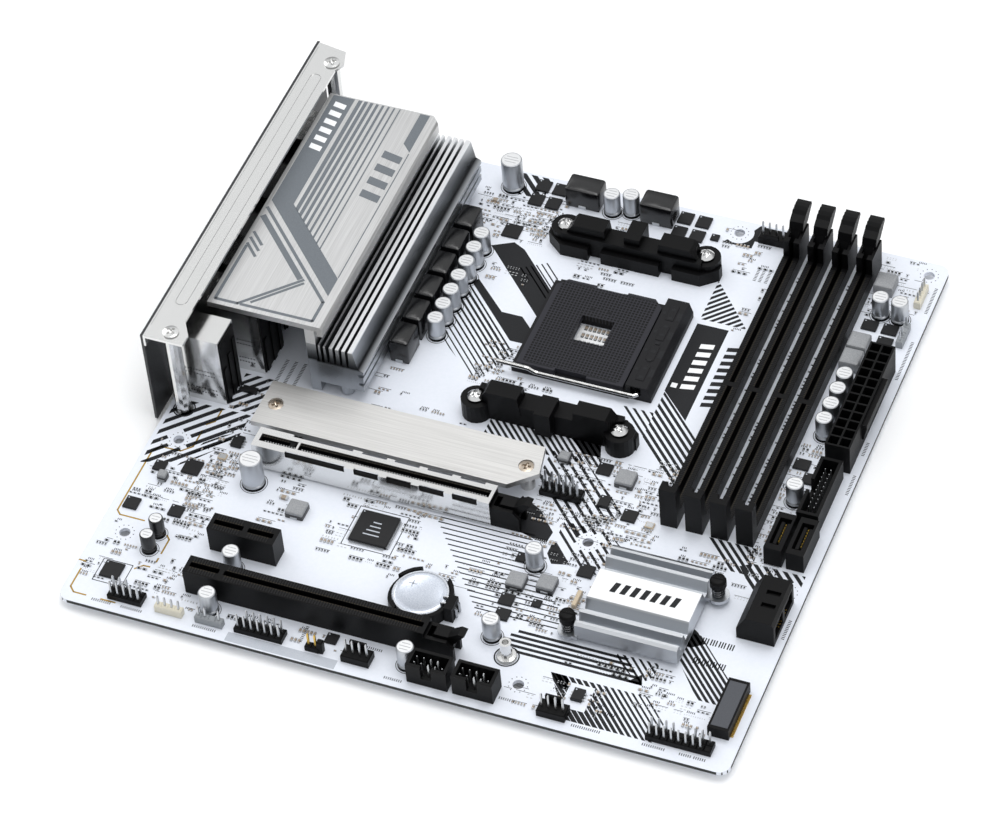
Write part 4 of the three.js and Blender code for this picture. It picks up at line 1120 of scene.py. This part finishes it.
# %% Socket details
window_parts = Build()
window_parts.block(126.4, 139.6, 163.4, 176.6, 0.01, 0.05, 0, edge=0.01)
for row in range(3):
    for column in range(7):
        x = 128.2 + 1.65 * column
        y = 166.6 + 3.7 * row
        window_parts.block(x, x + 1.0, y, y + 2.0, 0.05, 0.6, 2, edge=0.1)
        window_parts.block(x, x + 1.0, y, y + 0.5, 0.05, 0.63, 1, edge=0.08)
        window_parts.block(x, x + 1.0, y + 1.5, y + 2.0, 0.05, 0.63, 1, edge=0.08)
window_parts.finish("socket_window_parts", [white_paint, tin, tan_ceramic])

cam_details = Build()
for k in range(4):
    y = 153.5 + 9.6 * k
    cam_details.block(160.2, 162, y, y + 3.8, 6.75, 6.84, 0, edge=0.02)
    cam_details.block(154.6, 155.8, y + 2, y + 3.2, 6.75, 6.84, 0, edge=0.02)
for k in range(4):
    y = 151 + 10.2 * k
    cam_details.block(156.4, 159.6, y, y + 7.4, 6.78, 7.02, 1, edge=0.12, corner=0.3)
for k in range(9):
    cam_details.block(157.3, 158.9, 152 + 4.3 * k, 153.2 + 4.3 * k, 7.0, 7.06, 0, edge=0.02)
cam_details.finish("socket_cam_details", [dark_ink, socket_plastic])

cover_marks = Build()
cover_top = span("cpu_socket_cover")[5]
for x0, x1 in ((115.5, 126), (137.5, 150)):
    for y in (148.6, 190.2):
        cover_marks.block(x0, x1, y, y + 0.5, cover_top - 0.02, cover_top + 0.06, 0, edge=0.02)
for x, y in ((129.5, 162), (136, 162), (129.5, 180), (136, 180)):
    cover_marks.block(x - 0.7, x + 0.7, y - 0.5, y + 0.5, cover_top, cover_top + 0.08, 1, edge=0.03)
cover_marks.prism([(113.4, 188.6), (115.6, 190.8), (113.4, 190.8)], cover_top - 0.02, cover_top + 0.06, 0)
cover_marks.finish("socket_cover_marks", [dark_ink, socket_plastic], "socket_cover")
print("socket details placed")

# %% [markdown]
# ## Printing on the regulator cover
# Slate-grey lacquer is screened over the brushed aluminium: a wide band down one side that turns
# 45 degrees across the cover, thin parallel lines that stop at it, and an outlined corner. The
# names on it are replaced by plain slanted bars.

# %% Cover bands
cover_print = Build()
COVER_TOP = span("regulator_cover")[5]


def on_cover(points):
    """One flat shape of ink on the cover."""
    cover_print.prism(points, COVER_TOP, COVER_TOP + INK)


on_cover([(10.4, 229), (10.4, 171), (49, 132.4), (49, 141.4), (18.9, 171.5), (18.9, 229)])
for k in range(8):
    x = 20.4 + 2.33 * k
    width = 1.55 - 0.15 * k
    on_cover([(x, 229), (x, 190.2 - x), (x + width, 190.2 - x - width), (x + width, 229)])
on_cover([(45, 229), (45, 212.6), (48.8, 208.8), (48.8, 229)])
line(cover_print, [(48.9, 208), (48.9, 142)], 0.4, COVER_TOP)
line(cover_print, [(10.4, 167.2), (48.5, 129.1), (48.5, 119.4), (20.8, 119.4)], 1.2, COVER_TOP)
line(cover_print, [(10.8, 162.6), (36, 137.4)], 2.2, COVER_TOP)
line(cover_print, [(37.6, 137.2), (19.6, 119.4), (11, 119.4), (11, 147)], 1.2, COVER_TOP)
line(cover_print, [(38.2, 135.6), (24, 121.4)], 1.1, COVER_TOP)
for k in range(3):
    line(cover_print, [(10.8, 154.2 - 3 * k), (16.2, 148.8 - 3 * k)], 1.1, COVER_TOP)
for k in range(4):
    y = 181 + 7 * k
    on_cover([(39.8, y + 1.6), (47.6, y), (47.6, y + 3.6), (39.8, y + 5.2)])
cover_print.finish("regulator_cover_print", [slate_ink])

cover_bars = Build()
for k in range(6):
    y = 199.5 + 4.6 * k
    cover_bars.prism([(12.4, y + 0.9), (17.2, y), (17.2, y + 2.5), (12.4, y + 3.4)], COVER_TOP + INK,
                     COVER_TOP + 2 * INK)
cover_bars.finish("regulator_cover_bars", [white_paint])

chipset_top = Build()
top = span("chipset_heatsink")[5]
x0, x1, middle = 176.6, 213.3, 56.1
chipset_top.block(x0 + 0.1, x1 - 0.1, middle - 6.4, middle + 6.4, top - 0.01, top + 0.05, 0, edge=0.03)
for k in range(7):
    x = 183 + 3.6 * k
    bar = [(x, middle - 2.2), (x + 2, middle - 2.2), (x + 3, middle + 2.2), (x + 1, middle + 2.2)]
    chipset_top.prism(bar, top + 0.05, top + 0.08, 1)
chipset_top.finish("chipset_heatsink_top", [white_paint, dark_ink])
print("cover top at", round(COVER_TOP, 2))

# %% [markdown]
# ## Small surface parts
# Hundreds of chip capacitors and resistors fill the gaps, in short aligned rows, the way a
# router places them. A capacitor is a tan block with tinned ends, a resistor a flat black one.
# They are set out in zones by a seeded generator, and any that would touch something bigger is
# skipped. A few pads are left empty. The area of the CAD pieces and of the holes is taken first.

# %% Take the area of the CAD pieces
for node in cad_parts:
    x0, x1, y0, y1, z0, z1 = span(node)
    if z0 < 1.5 and z1 > 0 and node not in ("circuit_board", "cpu_backplate", "rear_shield_plate",
                                            "regulator_heatsink"):
        claim(x0, x1, y0, y1)
for hole in HOLES:
    claim(hole[0] - 4.2, hole[0] + 4.2, hole[1] - 4.2, hole[1] + 4.2, 0)
# Under the regulator cover and its heatsink no small part could be seen.
claim(-10, 45, 117, 232)
claim(45, 67, 117, 231)


def free(x0, x1, y0, y1):
    """Whether no claimed area touches this one."""
    return all(x1 < a or x0 > b or y1 < c or y0 > d for a, b, c, d in CLAIMED)


print("areas taken", len(CLAIMED))

# %% [markdown]
# A row is up to five equal parts at one spacing. The generator picks size, direction and kind, and
# often prints a line or a few ticks over the row.

# %% Chip capacitors and resistors
SIZES = {"0402": (1.0, 0.5, 0.45), "0603": (1.6, 0.8, 0.6), "1206": (3.2, 1.6, 1.1)}
COMMON = ("0402", "0402", "0603")
rng = random.Random(7)
small_parts = Build()
PLACED = []


def small_part(x, y, size, lying, kind):
    """One part or an empty pair of pads. Slots: 0 tan, 1 black, 2 tin, 3 ink."""
    long, short, height = SIZES[size]
    a, b = (long / 2, short / 2) if lying else (short / 2, long / 2)
    if not free(x - a, x + a, y - b, y + b):
        return
    end = long * 0.24
    for side in (-1, 1):
        if lying:
            low, high = sorted((x + side * a, x + side * (a - end)))
            ends = (low, high, y - b, y + b)
        else:
            low, high = sorted((y + side * b, y + side * (b - end)))
            ends = (x - a, x + a, low, high)
        small_parts.block(*ends, 0.01, height + 0.02 if kind != "empty" else 0.05, 2, edge=0.04)
    if kind != "empty":
        inset = 0.03
        small_parts.block(x - a + inset, x + a - inset, y - b + inset, y + b - inset, 0.03,
                          height if kind == "cap" else height * 0.7, 0 if kind == "cap" else 1, edge=0.05)
    PLACED.append(kind)


def fill(x0, x1, y0, y1, density):
    """Short rows of equal parts across a zone."""
    y = y0
    while y < y1:
        x = x0 + rng.uniform(0, 1.5)
        while x < x1:
            size = rng.choice(COMMON)
            long, short, _ = SIZES[size]
            lying = rng.random() < 0.4
            step = (long if lying else short) + 0.55
            kind = rng.choice(("cap", "cap", "resistor", "resistor", "resistor", "empty"))
            run = rng.randint(1, 5)
            if rng.random() < density:
                for k in range(run):
                    if x + k * step < x1:
                        small_part(x + k * step, y, size, lying, kind)
                over = y + long * 0.6 + 0.25
                if rng.random() < 0.5:
                    line(print_work, [(x - 0.6, over), (min(x + run * step - 0.5, x1), over)], 0.18)
                elif rng.random() < 0.6 and free(x, x + 3, over, over + 1):
                    ticks(print_work, x, over, rng.randint(3, 5), height=0.8, step=0.62, thick=0.28)
            x += run * step + rng.uniform(0.5, 2.2)
        y += rng.uniform(1.8, 2.5)


DENSE = [(140, 176, 84, 118), (176, 186, 84, 124), (219, 231, 86, 150), (66, 100, 214, 231),
         (79, 98, 209, 228)]
MEDIUM = [(4, 36, 52, 80), (24, 36, 38, 97), (2, 33, 8, 30), (33, 48, 9, 28), (139, 168, 38, 76),
          (168, 176, 44, 76), (219, 240, 210, 243), (97, 110, 138, 160), (76, 108, 48, 78),
          (52, 62, 54, 76), (114, 138, 194, 207), (196, 214, 76, 92), (20, 30, 100, 117),
          (160, 184, 76, 98), (98, 130, 140, 146), (204, 214, 18, 37), (212, 232, 13, 26),
          (176, 196, 9, 21), (120, 160, 224, 230)]
SPARSE = [(38, 110, 8, 14), (60, 78, 112, 136), (84, 116, 72, 86), (104, 128, 44, 60),
          (84, 100, 186, 196), (176, 200, 26, 34), (128, 140, 42, 62), (214, 232, 60, 90),
          (150, 176, 4, 20), (4, 34, 38, 52), (160, 184, 218, 242), (86, 108, 112, 122),
          (178, 184, 190, 215)]
for zones, density in ((DENSE, 0.9), (MEDIUM, 0.6), (SPARSE, 0.3)):
    for x0, x1, y0, y1 in zones:
        fill(x0, x1, y0, y1, density)
for x, y in ((28.6, 83), (28.6, 87.5), (57, 66), (73.5, 226), (66.5, 128), (150, 94), (228, 92),
             (83, 237), (155.4, 237)):
    small_part(x, y, "1206", True, "cap")
for number in range(1, 4):
    middle = (span(f"memory_slot_{number}")[1] + span(f"memory_slot_{number + 1}")[0]) / 2
    for k in range(70):
        if rng.random() < 0.75:
            small_part(middle + rng.choice((-0.45, 0.45)), 106 + 1.7 * k, "0402", True, "resistor")
small_parts.finish("small_surface_parts", [tan_ceramic, black_glass, tin, dark_ink])
print("small parts", len(PLACED))

# %% [markdown]
# Crystals are flat ceramic boxes with a metal lid. The board's printing is complete now, so it is
# made as one object.

# %% Crystals, and the printing as one object

crystals = Build()
for x, y in ((28.6, 77), (182.8, 93.5)):
    crystals.block(x - 1.6, x + 1.6, y - 1.3, y + 1.3, 0.02, 0.8, 0, edge=0.15, corner=0.3)
    crystals.block(x - 1.3, x + 1.3, y - 1.0, y + 1.0, 0.8, 0.9, 1, edge=0.05, corner=0.2)
crystals.block(170.2, 171.8, 50.5, 57.5, 0.02, 2.2, 0, edge=0.2)
crystals.finish("ceramic_crystals", [beige_ceramic, tin])
print_work.finish("board_printing", [dark_ink])
print("printed faces", len(print_work.faces))

# %% [markdown]
# ## Screws
# The bracket screws are chromed domes with a deep cross, and the others are nearly flat nickel
# heads. A head is a polar grid whose height follows the dome, then drops inside the cross, so the
# recess is real geometry. Each one stands in for a whole CAD screw. The two heatsink screws, under
# the board, keep their CAD shape.


# %% Screw heads
def cross_depth(radius, angle, head):
    """How deep the cross recess is at a place on a head of this radius."""
    x = abs(radius * math.cos(angle))
    y = abs(radius * math.sin(angle))
    along, aside = max(x, y), min(x, y)
    if along > head * 0.58 or aside > head * 0.13:
        return 0.0
    return head * 0.34 * (1 - 0.5 * along / (head * 0.58))


def screw_head(name, node, x, y, base, rim, dome, radius, finish, twist, shank):
    """A shank, then a head from base to rim, with a dome above it and a cross recess."""
    build = Build()
    sides = 32
    outline = [*shank, (radius, base), (radius, rim)]
    rings = [raised(circle(x, y, r, sides), z) for r, z in outline]
    for step in range(1, 16):
        r = radius * (1 - step / 15.5)
        ring = []
        for i in range(sides):
            a = 2 * math.pi * i / sides
            z = rim + dome * (1 - (r / radius) ** 2) - cross_depth(r, a + twist, radius)
            ring.append((x + r * math.cos(a), y + r * math.sin(a), z))
        rings.append(ring)
    build.loft(rings)
    made = build.finish(name, [finish])
    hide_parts(node)


def node_screw(name, node, finish, dome, twist):
    """Replaces an upright CAD screw by one with a cross, from the node's own box."""
    x0, x1, y0, y1, z0, z1 = span(node)
    x, y, radius = (x0 + x1) / 2, (y0 + y1) / 2, (x1 - x0) / 2
    rim = z1 - dome - 0.1
    base = rim - 0.5
    shank = [(radius * 0.45, z0), (radius * 0.45, base)]
    screw_head(name, node, x, y, base, rim, dome, radius, finish, twist, shank)


for number in range(1, 3):
    node_screw(f"shield_screw_head_{number}", f"shield_screw_{number}", nickel, 0.35, 0.5 * number)
    node_screw(f"storage_screw_head_{number}", f"storage_screw_{number}", screw_nickel, 0.3,
               0.2 + 0.7 * number)
for number in range(1, 5):
    node_screw(f"bracket_screw_head_{number}", f"bracket_screw_{number}", chrome, 1.5, 0.4 * number)
print("screws placed")

# %% [markdown]
# ## Board edge, rings and pads
# The laminate's cut edge is dark between its white faces. The storage standoff and the shield
# posts stand on bare rings with a dark outline. The underside carries the solder tails of every
# pinned part, trimmed short.


# %% Edge, rings and solder tails
edge_band = Build()
outer = rectangle(-0.04, BOARD_SIDE + 0.04, -0.04, BOARD_SIDE + 0.04, 4)
edge_band.loft([raised(outer, -BOARD_THICKNESS + 0.12), raised(outer, -0.12)], 0, closed=False)
edge_band.finish("board_cut_edge", [edge_laminate])

rings = Build()
for x, y, radius in ((157, 24, 4.2), (5.8, 94.4, 3.9), (5.8, 239.2, 3.9)):
    for inner, thick, slot in ((radius - 1.0, 1.0, 0), (radius, 0.5, 1)):
        path = circle(x, y, inner, 28)
        line(rings, path + path[:1], thick, slot * 0.02, slot)
rings.finish("bare_rings", [tin, dark_ink])

# A plain white area keeps the stripes off the small chip near the header edge.
white_patch = Build()
white_patch.block(181.6, 190.2, 9.6, 20.4, INK * 0.5, INK * 1.5, edge=0.01)
white_patch.finish("mask_patch", [solder_mask])

tails = Build()
under = -BOARD_THICKNESS
LONG_TAIL = [(0.2, under - 1.3), (0.3, under - 0.9), (0.55, under - 0.25), (0.8, under + 0.05)]
for node, columns, rows in (("main_power_connector", 2, 12), ("processor_power_connector", 4, 2),
                            ("front_usb_header", 2, 10), ("boxed_usb_header_1", 5, 2),
                            ("boxed_usb_header_2", 5, 2), ("upright_drive_port_1", 1, 7),
                            ("upright_drive_port_2", 1, 7), ("angled_drive_ports", 2, 7),
                            ("usb_lan_stack", 4, 8), ("usb_stack_lower", 4, 4), ("usb_stack_upper", 4, 4),
                            ("video_port_stack", 4, 6), ("keyboard_usb_stack", 4, 5),
                            ("audio_jack_stack", 3, 6)):
    x0, x1, y0, y1, _, _ = span(node)
    for i in range(columns):
        for j in range(rows):
            x = x0 + (x1 - x0) * (i + 0.5) / columns
            y = y0 + (y1 - y0) * (j + 0.5) / rows
            if x > 1:
                tails.turned(x, y, LONG_TAIL, 0, 8)
MEMORY_ROW = 189.05
MEMORY_PITCH = 9.2
SHORT_TAIL = [(0.2, under - 0.7), (0.5, under + 0.05)]
for k in range(4):
    for j in range(60):
        for side in (-1, 1):
            tails.turned(MEMORY_ROW + MEMORY_PITCH * k + side * 1.2, 101 + 2.1 * j, SHORT_TAIL, 0, 6)
for name, count in (("lower", 42), ("short", 11), ("upper", 42)):
    for k in range(count):
        for side in (-1, 1):
            tails.turned(44.5 + 2 * k, CARD_ROWS[name][0] + side * 2.6, SHORT_TAIL, 0, 6)
tails.finish("solder_tails", [tin])
print("edge and underside done")

# %% [markdown]
# ## The rear connectors
# Each stack is a folded nickel shell round a black moulding. The shells have spring fingers on
# top and rows of small square vents, and their mouths show plastic tongues with gold contacts.
# The audio jacks have coloured throats, and the network port has eight sprung contacts.

# %% Shell tops, backs and fingers
shells = Build()
for node in REAR_STACKS:
    x0, x1, y0, y1, _, z1 = span(node)
    if node != "audio_jack_stack":
        for k in range(3):
            x = x0 + 6 + 5.5 * k
            for y in (y0 + 3, y1 - 5):
                shells.block(x, x + 3.4, y, y + 1.6, z1 - 0.02, z1 + 0.12, 0, edge=0.06)
    shells.block(x1 - 0.02, x1 + 0.35, y0 + 0.5, y1 - 0.5, 0.3, z1 - 1.2, 1, edge=0.1)
    for k in range(3):
        y = y0 + (y1 - y0) * (k + 0.5) / 3
        shells.block(x1 + 0.3, x1 + 0.8, y - 1.1, y + 1.1, 0.3, z1 * (0.55 + 0.12 * k), 1, edge=0.15)
    for i in range(int((x1 - x0 - 6) / 1.1)):
        for j in range(2):
            x = x0 + 4 + 1.1 * i
            shells.block(x, x + 0.5, y0 - 0.05, y0 + 0.02, 4 + 9 * j, 4.5 + 9 * j, 2, edge=0.01)
            shells.block(x, x + 0.5, y0 - 0.05, y0 + 0.02, 6 + 9 * j, 6.5 + 9 * j, 2, edge=0.01)
shells.finish("rear_shell_details", [nickel, black_nylon, dark_ink])
print("shells", len(REAR_STACKS))

# %% [markdown]
# Flat ports hold a plastic tongue with contacts, a short block set back from the shell's mouth. The
# round keyboard port has a ring of six contacts, and the audio jacks are coloured throats.

# %% Port tongues and throats
ports = Build()
USB_PORTS = [("usb_lan_stack", (4.4, 12.2), 0), ("usb_stack_lower", (4.4, 14.2, 24), 1),
             ("usb_stack_upper", (4.4, 14.2), 1), ("keyboard_usb_stack", (4.4, 12), 2)]
for node, heights, colour in USB_PORTS:
    x0, _, y0, y1, _, _ = span(node)
    middle = (y0 + y1) / 2
    for z in heights:
        ports.block(x0 + 0.9, x0 + 8.9, middle - 5.75, middle + 5.75, z + 0.9, z + 3.05, colour, edge=0.2)
        for k in range(4):
            y = middle + (k - 1.5) * 2.4
            ports.block(x0 + 1.2, x0 + 8.6, y - 0.5, y + 0.5, z + 0.8, z + 0.92, 3, edge=0.03)
x0, _, y0, y1, _, _ = span("usb_lan_stack")
for k in range(8):
    y = (y0 + y1) / 2 + (k - 3.5) * 1.02
    ports.tube([(x0 + 1, y, 19), (x0 + 5, y, 21.4), (x0 + 11, y, 25)], 0.2, 3)
for y in (y0 + 2.4, y1 - 2.4):
    ports.block(x0 - 0.08, x0 + 0.4, y - 1.1, y + 1.1, 27.4, 28.8, 4, edge=0.1)
x0, _, y0, y1, _, _ = span("video_port_stack")
for z in (5.2, 15.6):
    ports.block(x0 + 1, x0 + 7.9, (y0 + y1) / 2 - 5.4, (y0 + y1) / 2 + 5.4, z - 0.5, z + 0.7, 0, edge=0.15)
    for k in range(9):
        y = (y0 + y1) / 2 + (k - 4) * 1.1
        ports.block(x0 + 1.3, x0 + 7.6, y - 0.3, y + 0.3, z + 0.68, z + 0.76, 3, edge=0.02)
x0, _, y0, y1, _, _ = span("keyboard_usb_stack")
for k in range(6):
    a = math.radians(30 + 60 * k)
    y, z = (y0 + y1) / 2 + 3.2 * math.cos(a), 22.2 + 3.2 * math.sin(a)
    ports.tube([(x0 + 6.8, y, z), (x0 + 6.95, y, z)], 0.55, 3, 8)
ports.finish("port_tongues", [black_lcp, teal_plastic, white_paint, brass_gold, lamp_lens])

throats = Build()
x0, _, y0, y1, _, _ = span("audio_jack_stack")
for slot, z in enumerate((5.6, 15.8, 26)):
    middle = (y0 + y1) / 2
    throat_rings = []
    for depth, radius in ((11, 1.75), (0.2, 1.75), (-0.35, 2.1), (-0.35, 3.5), (0.05, 3.7)):
        ring = [(x0 + depth, middle + radius * math.cos(a), z + radius * math.sin(a))
                for a in [2 * math.pi * i / 28 for i in range(28)]]
        throat_rings.append(ring)
    throats.loft(throat_rings, slot, closed=False)
throats.finish("audio_throats", [pink_plastic, lime_plastic, sky_plastic])
print("rear connectors done")

# %% [markdown]
# The shield's bright top strip is stiffened by a long embossed oval. It is drawn as a thin raised
# tube along the oval's outline. The dark plate has a raised frame round each window.

# %% Shield strip and window frames
strip = Build()
strip_top = span("shield_bracket")[5]
OVAL_RADIUS = 2.1
oval = []
for y, start in ((230, 0), (110, 180)):
    for k in range(13):
        a = math.radians(start + 15 * k)
        oval.append((2.9 + OVAL_RADIUS * math.cos(a), y + OVAL_RADIUS * math.sin(a), strip_top + 0.02))
strip.tube(oval + oval[:1], 0.16, 0, 6)
strip.tube([(-2.6, 96, strip_top), (-2.6, 246, strip_top)], 0.14, 0, 6)
strip.finish("shield_strip_emboss", [nickel])
frames = Build()
x0 = span("rear_shield_plate")[0]
for node in REAR_STACKS:
    _, _, y0, y1, _, z1 = span(node)
    for a, b, c, d in ((y0 - 1, y1 + 1, z1 + 0.6, z1 + 1.1), (y0 - 1, y0 - 0.5, 0.5, z1 + 0.6),
                       (y1 + 0.5, y1 + 1, 0.5, z1 + 0.6)):
        frames.block(x0 - 0.12, x0 + 0.02, a, b, c, d, 0, edge=0.04)
for k in range(5):
    frames.block(x0 - 0.1, x0 + 0.02, 100 + 30 * k, 112 + 30 * k, 35.2, 36, 1, edge=0.02)
frames.finish("shield_plate_frames", [dark_coat, grey_ink])
print("shield strip top", round(strip_top, 2), "mm")

# %% [markdown]
# ## Heatsink pins, cell, drive ports and storage sockets
# Spring-loaded push pins hold the chipset heatsink: a black pin with a bar across its head, and a
# steel spring between the head and the ear. The spring is a tube along a helix of four turns.

# %% Springs and pin heads
springs = Build()
for x, y in ((216.5, 69.5), (173.5, 39.5)):
    coil = []
    for k in range(61):
        a = 2 * math.pi * k / 15
        coil.append((x + 2.05 * math.cos(a), y + 2.05 * math.sin(a), 3.3 + 4.4 * k / 60))
    springs.tube(coil, 0.28, 0, 6)
    springs.turned(x, y, [(2.5, 11.35), (2.2, 11.55), (0.9, 11.6)], 1, 20)
    springs.block(x - 2.2, x + 2.2, y - 0.35, y + 0.35, 11.5, 11.75, 1, edge=0.1)
springs.finish("push_pin_springs", [steel_wire, black_lcp])
print("springs made")

# %% [markdown]
# The coin cell's steel face is raised at the rim and marked with a plus. The holder's contact clip
# is two bent wires that reach over the cell.

# %% Cell face and holder clip
cell = Build()
x0, x1, y0, y1, _, z1 = span("coin_cell")
cx, cy = (x0 + x1) / 2, (y0 + y1) / 2
cell.loft([raised(circle(cx, cy, r, 40), z) for r, z in
           ((9.2, z1 - 0.05), (9.0, z1 + 0.06), (8.6, z1 + 0.1), (7.4, z1 + 0.1), (7.2, z1 + 0.04),
            (0.5, z1 + 0.04))], 0)
for a, b in ((1.6, 0.25), (0.25, 1.6)):
    cell.block(cx - 4 - a, cx - 4 + a, cy + 3 - b, cy + 3 + b, z1 + 0.03, z1 + 0.07, 1, edge=0.01)
cell.finish("coin_cell_face", [cell_face, grey_ink])

holder_clip = Build()
for y in (34.6, 37.4):
    holder_clip.tube([(134.6, y, 0.3), (134.6, y, 4.2), (133, y, 6.2), (130.6, y, 5.9), (129.2, y, 5.3)],
                     0.55, 0, 6)
holder_clip.finish("battery_clip_contact", [steel_wire])
print("cell face at", round(z1, 2), "mm")

# %% [markdown]
# Each drive port has seven gold contacts on a 1.27 mm pitch.

# %% Drive port contacts
DRIVE_PITCH = 1.27
tongues = Build()
for number in (1, 2):
    x0, x1, y0, y1, _, _ = span(f"upright_drive_port_{number}")
    x = (x0 + x1) / 2
    for k in range(7):
        y = (y0 + y1) / 2 + (k - 3) * DRIVE_PITCH
        tongues.block(x + 0.75, x + 0.95, y - 0.3, y + 0.3, 2.5, 7.9, 0, edge=0.03)
_, x1, y0, y1, _, _ = span("angled_drive_ports")
for z in (3, 8):
    for k in range(7):
        y = (y0 + y1) / 2 + (k - 3) * DRIVE_PITCH
        tongues.block(x1 - 5.5, x1 - 0.4, y - 0.3, y + 0.3, z, z + 0.15, 0, edge=0.03)
tongues.finish("drive_port_contacts", [brass_gold])
print("drive contacts", len(tongues.faces) // 10)

# %% [markdown]
# The lower storage socket is open to view. Its contacts are fine gold feet along both sides.

# %% Storage socket contacts
storage_contacts = Build()
x0, x1, y0, y1, _, z1 = span("storage_socket_lower")
for k in range(36):
    y = y0 + 1.6 + 0.53 * k
    storage_contacts.block(x1 - 0.1, x1 + 1.0, y, y + 0.26, 0.02, 0.4, 0, edge=0.05)
    storage_contacts.block(x0 - 0.5, x0 + 0.1, y, y + 0.26, 0.02, 0.4, 0, edge=0.05)
storage_contacts.block(x0 + 0.8, x1 - 0.7, y0 + 1.2, y1 - 1.2, z1 - 0.02, z1 + 0.08, 1, edge=0.04)
storage_contacts.finish("storage_socket_contacts", [brass_gold, slate_plastic])
print("storage socket top", round(z1, 2), "mm")

# %% [markdown]
# Power connectors carry one thick square pin in each cell, on a 4.2 mm pitch.

# %% Power connector pins
CELL_PITCH = 4.2
CELL_MIDDLE = 2.45
power_pins = Build()
x0, _, y0, _, _, _ = span("main_power_connector")
for i in range(2):
    for j in range(12):
        power_pins.pin(x0 + CELL_MIDDLE + CELL_PITCH * i, y0 + CELL_MIDDLE + CELL_PITCH * j, 2.4, 8.4, 0.55)
x0, _, _, y1, _, _ = span("processor_power_connector")
for i in range(4):
    for j in range(2):
        power_pins.pin(x0 + CELL_MIDDLE + CELL_PITCH * i, y1 - CELL_MIDDLE - CELL_PITCH * j, 2.4, 8.4, 0.55)
power_pins.finish("power_connector_pins", [tin])
print("last details done")

# %% [markdown]
# ## Floor and finish
# A plain pale floor catches a soft contact shadow. It is wide enough to fill every view.

# %% Floor
floor_mesh = bpy.data.meshes.new("studio_floor")
floor_mesh.from_pydata([(-6, -6, 0), (6, -6, 0), (6, 6, 0), (-6, 6, 0)], [], [(0, 1, 2, 3)])
floor = bpy.data.objects.new("studio_floor", floor_mesh)
floor.location.z = -0.3 * MM
bpy.context.scene.collection.objects.link(floor)
floor_paper = grained("white_studio_paper", "FFFFFF", 0.9, 1.0, 0.1, IOR=1.45, shades=("FDFEFF", "FFFFFF"))
floor_mesh.materials.append(floor_paper)
print("floor placed")
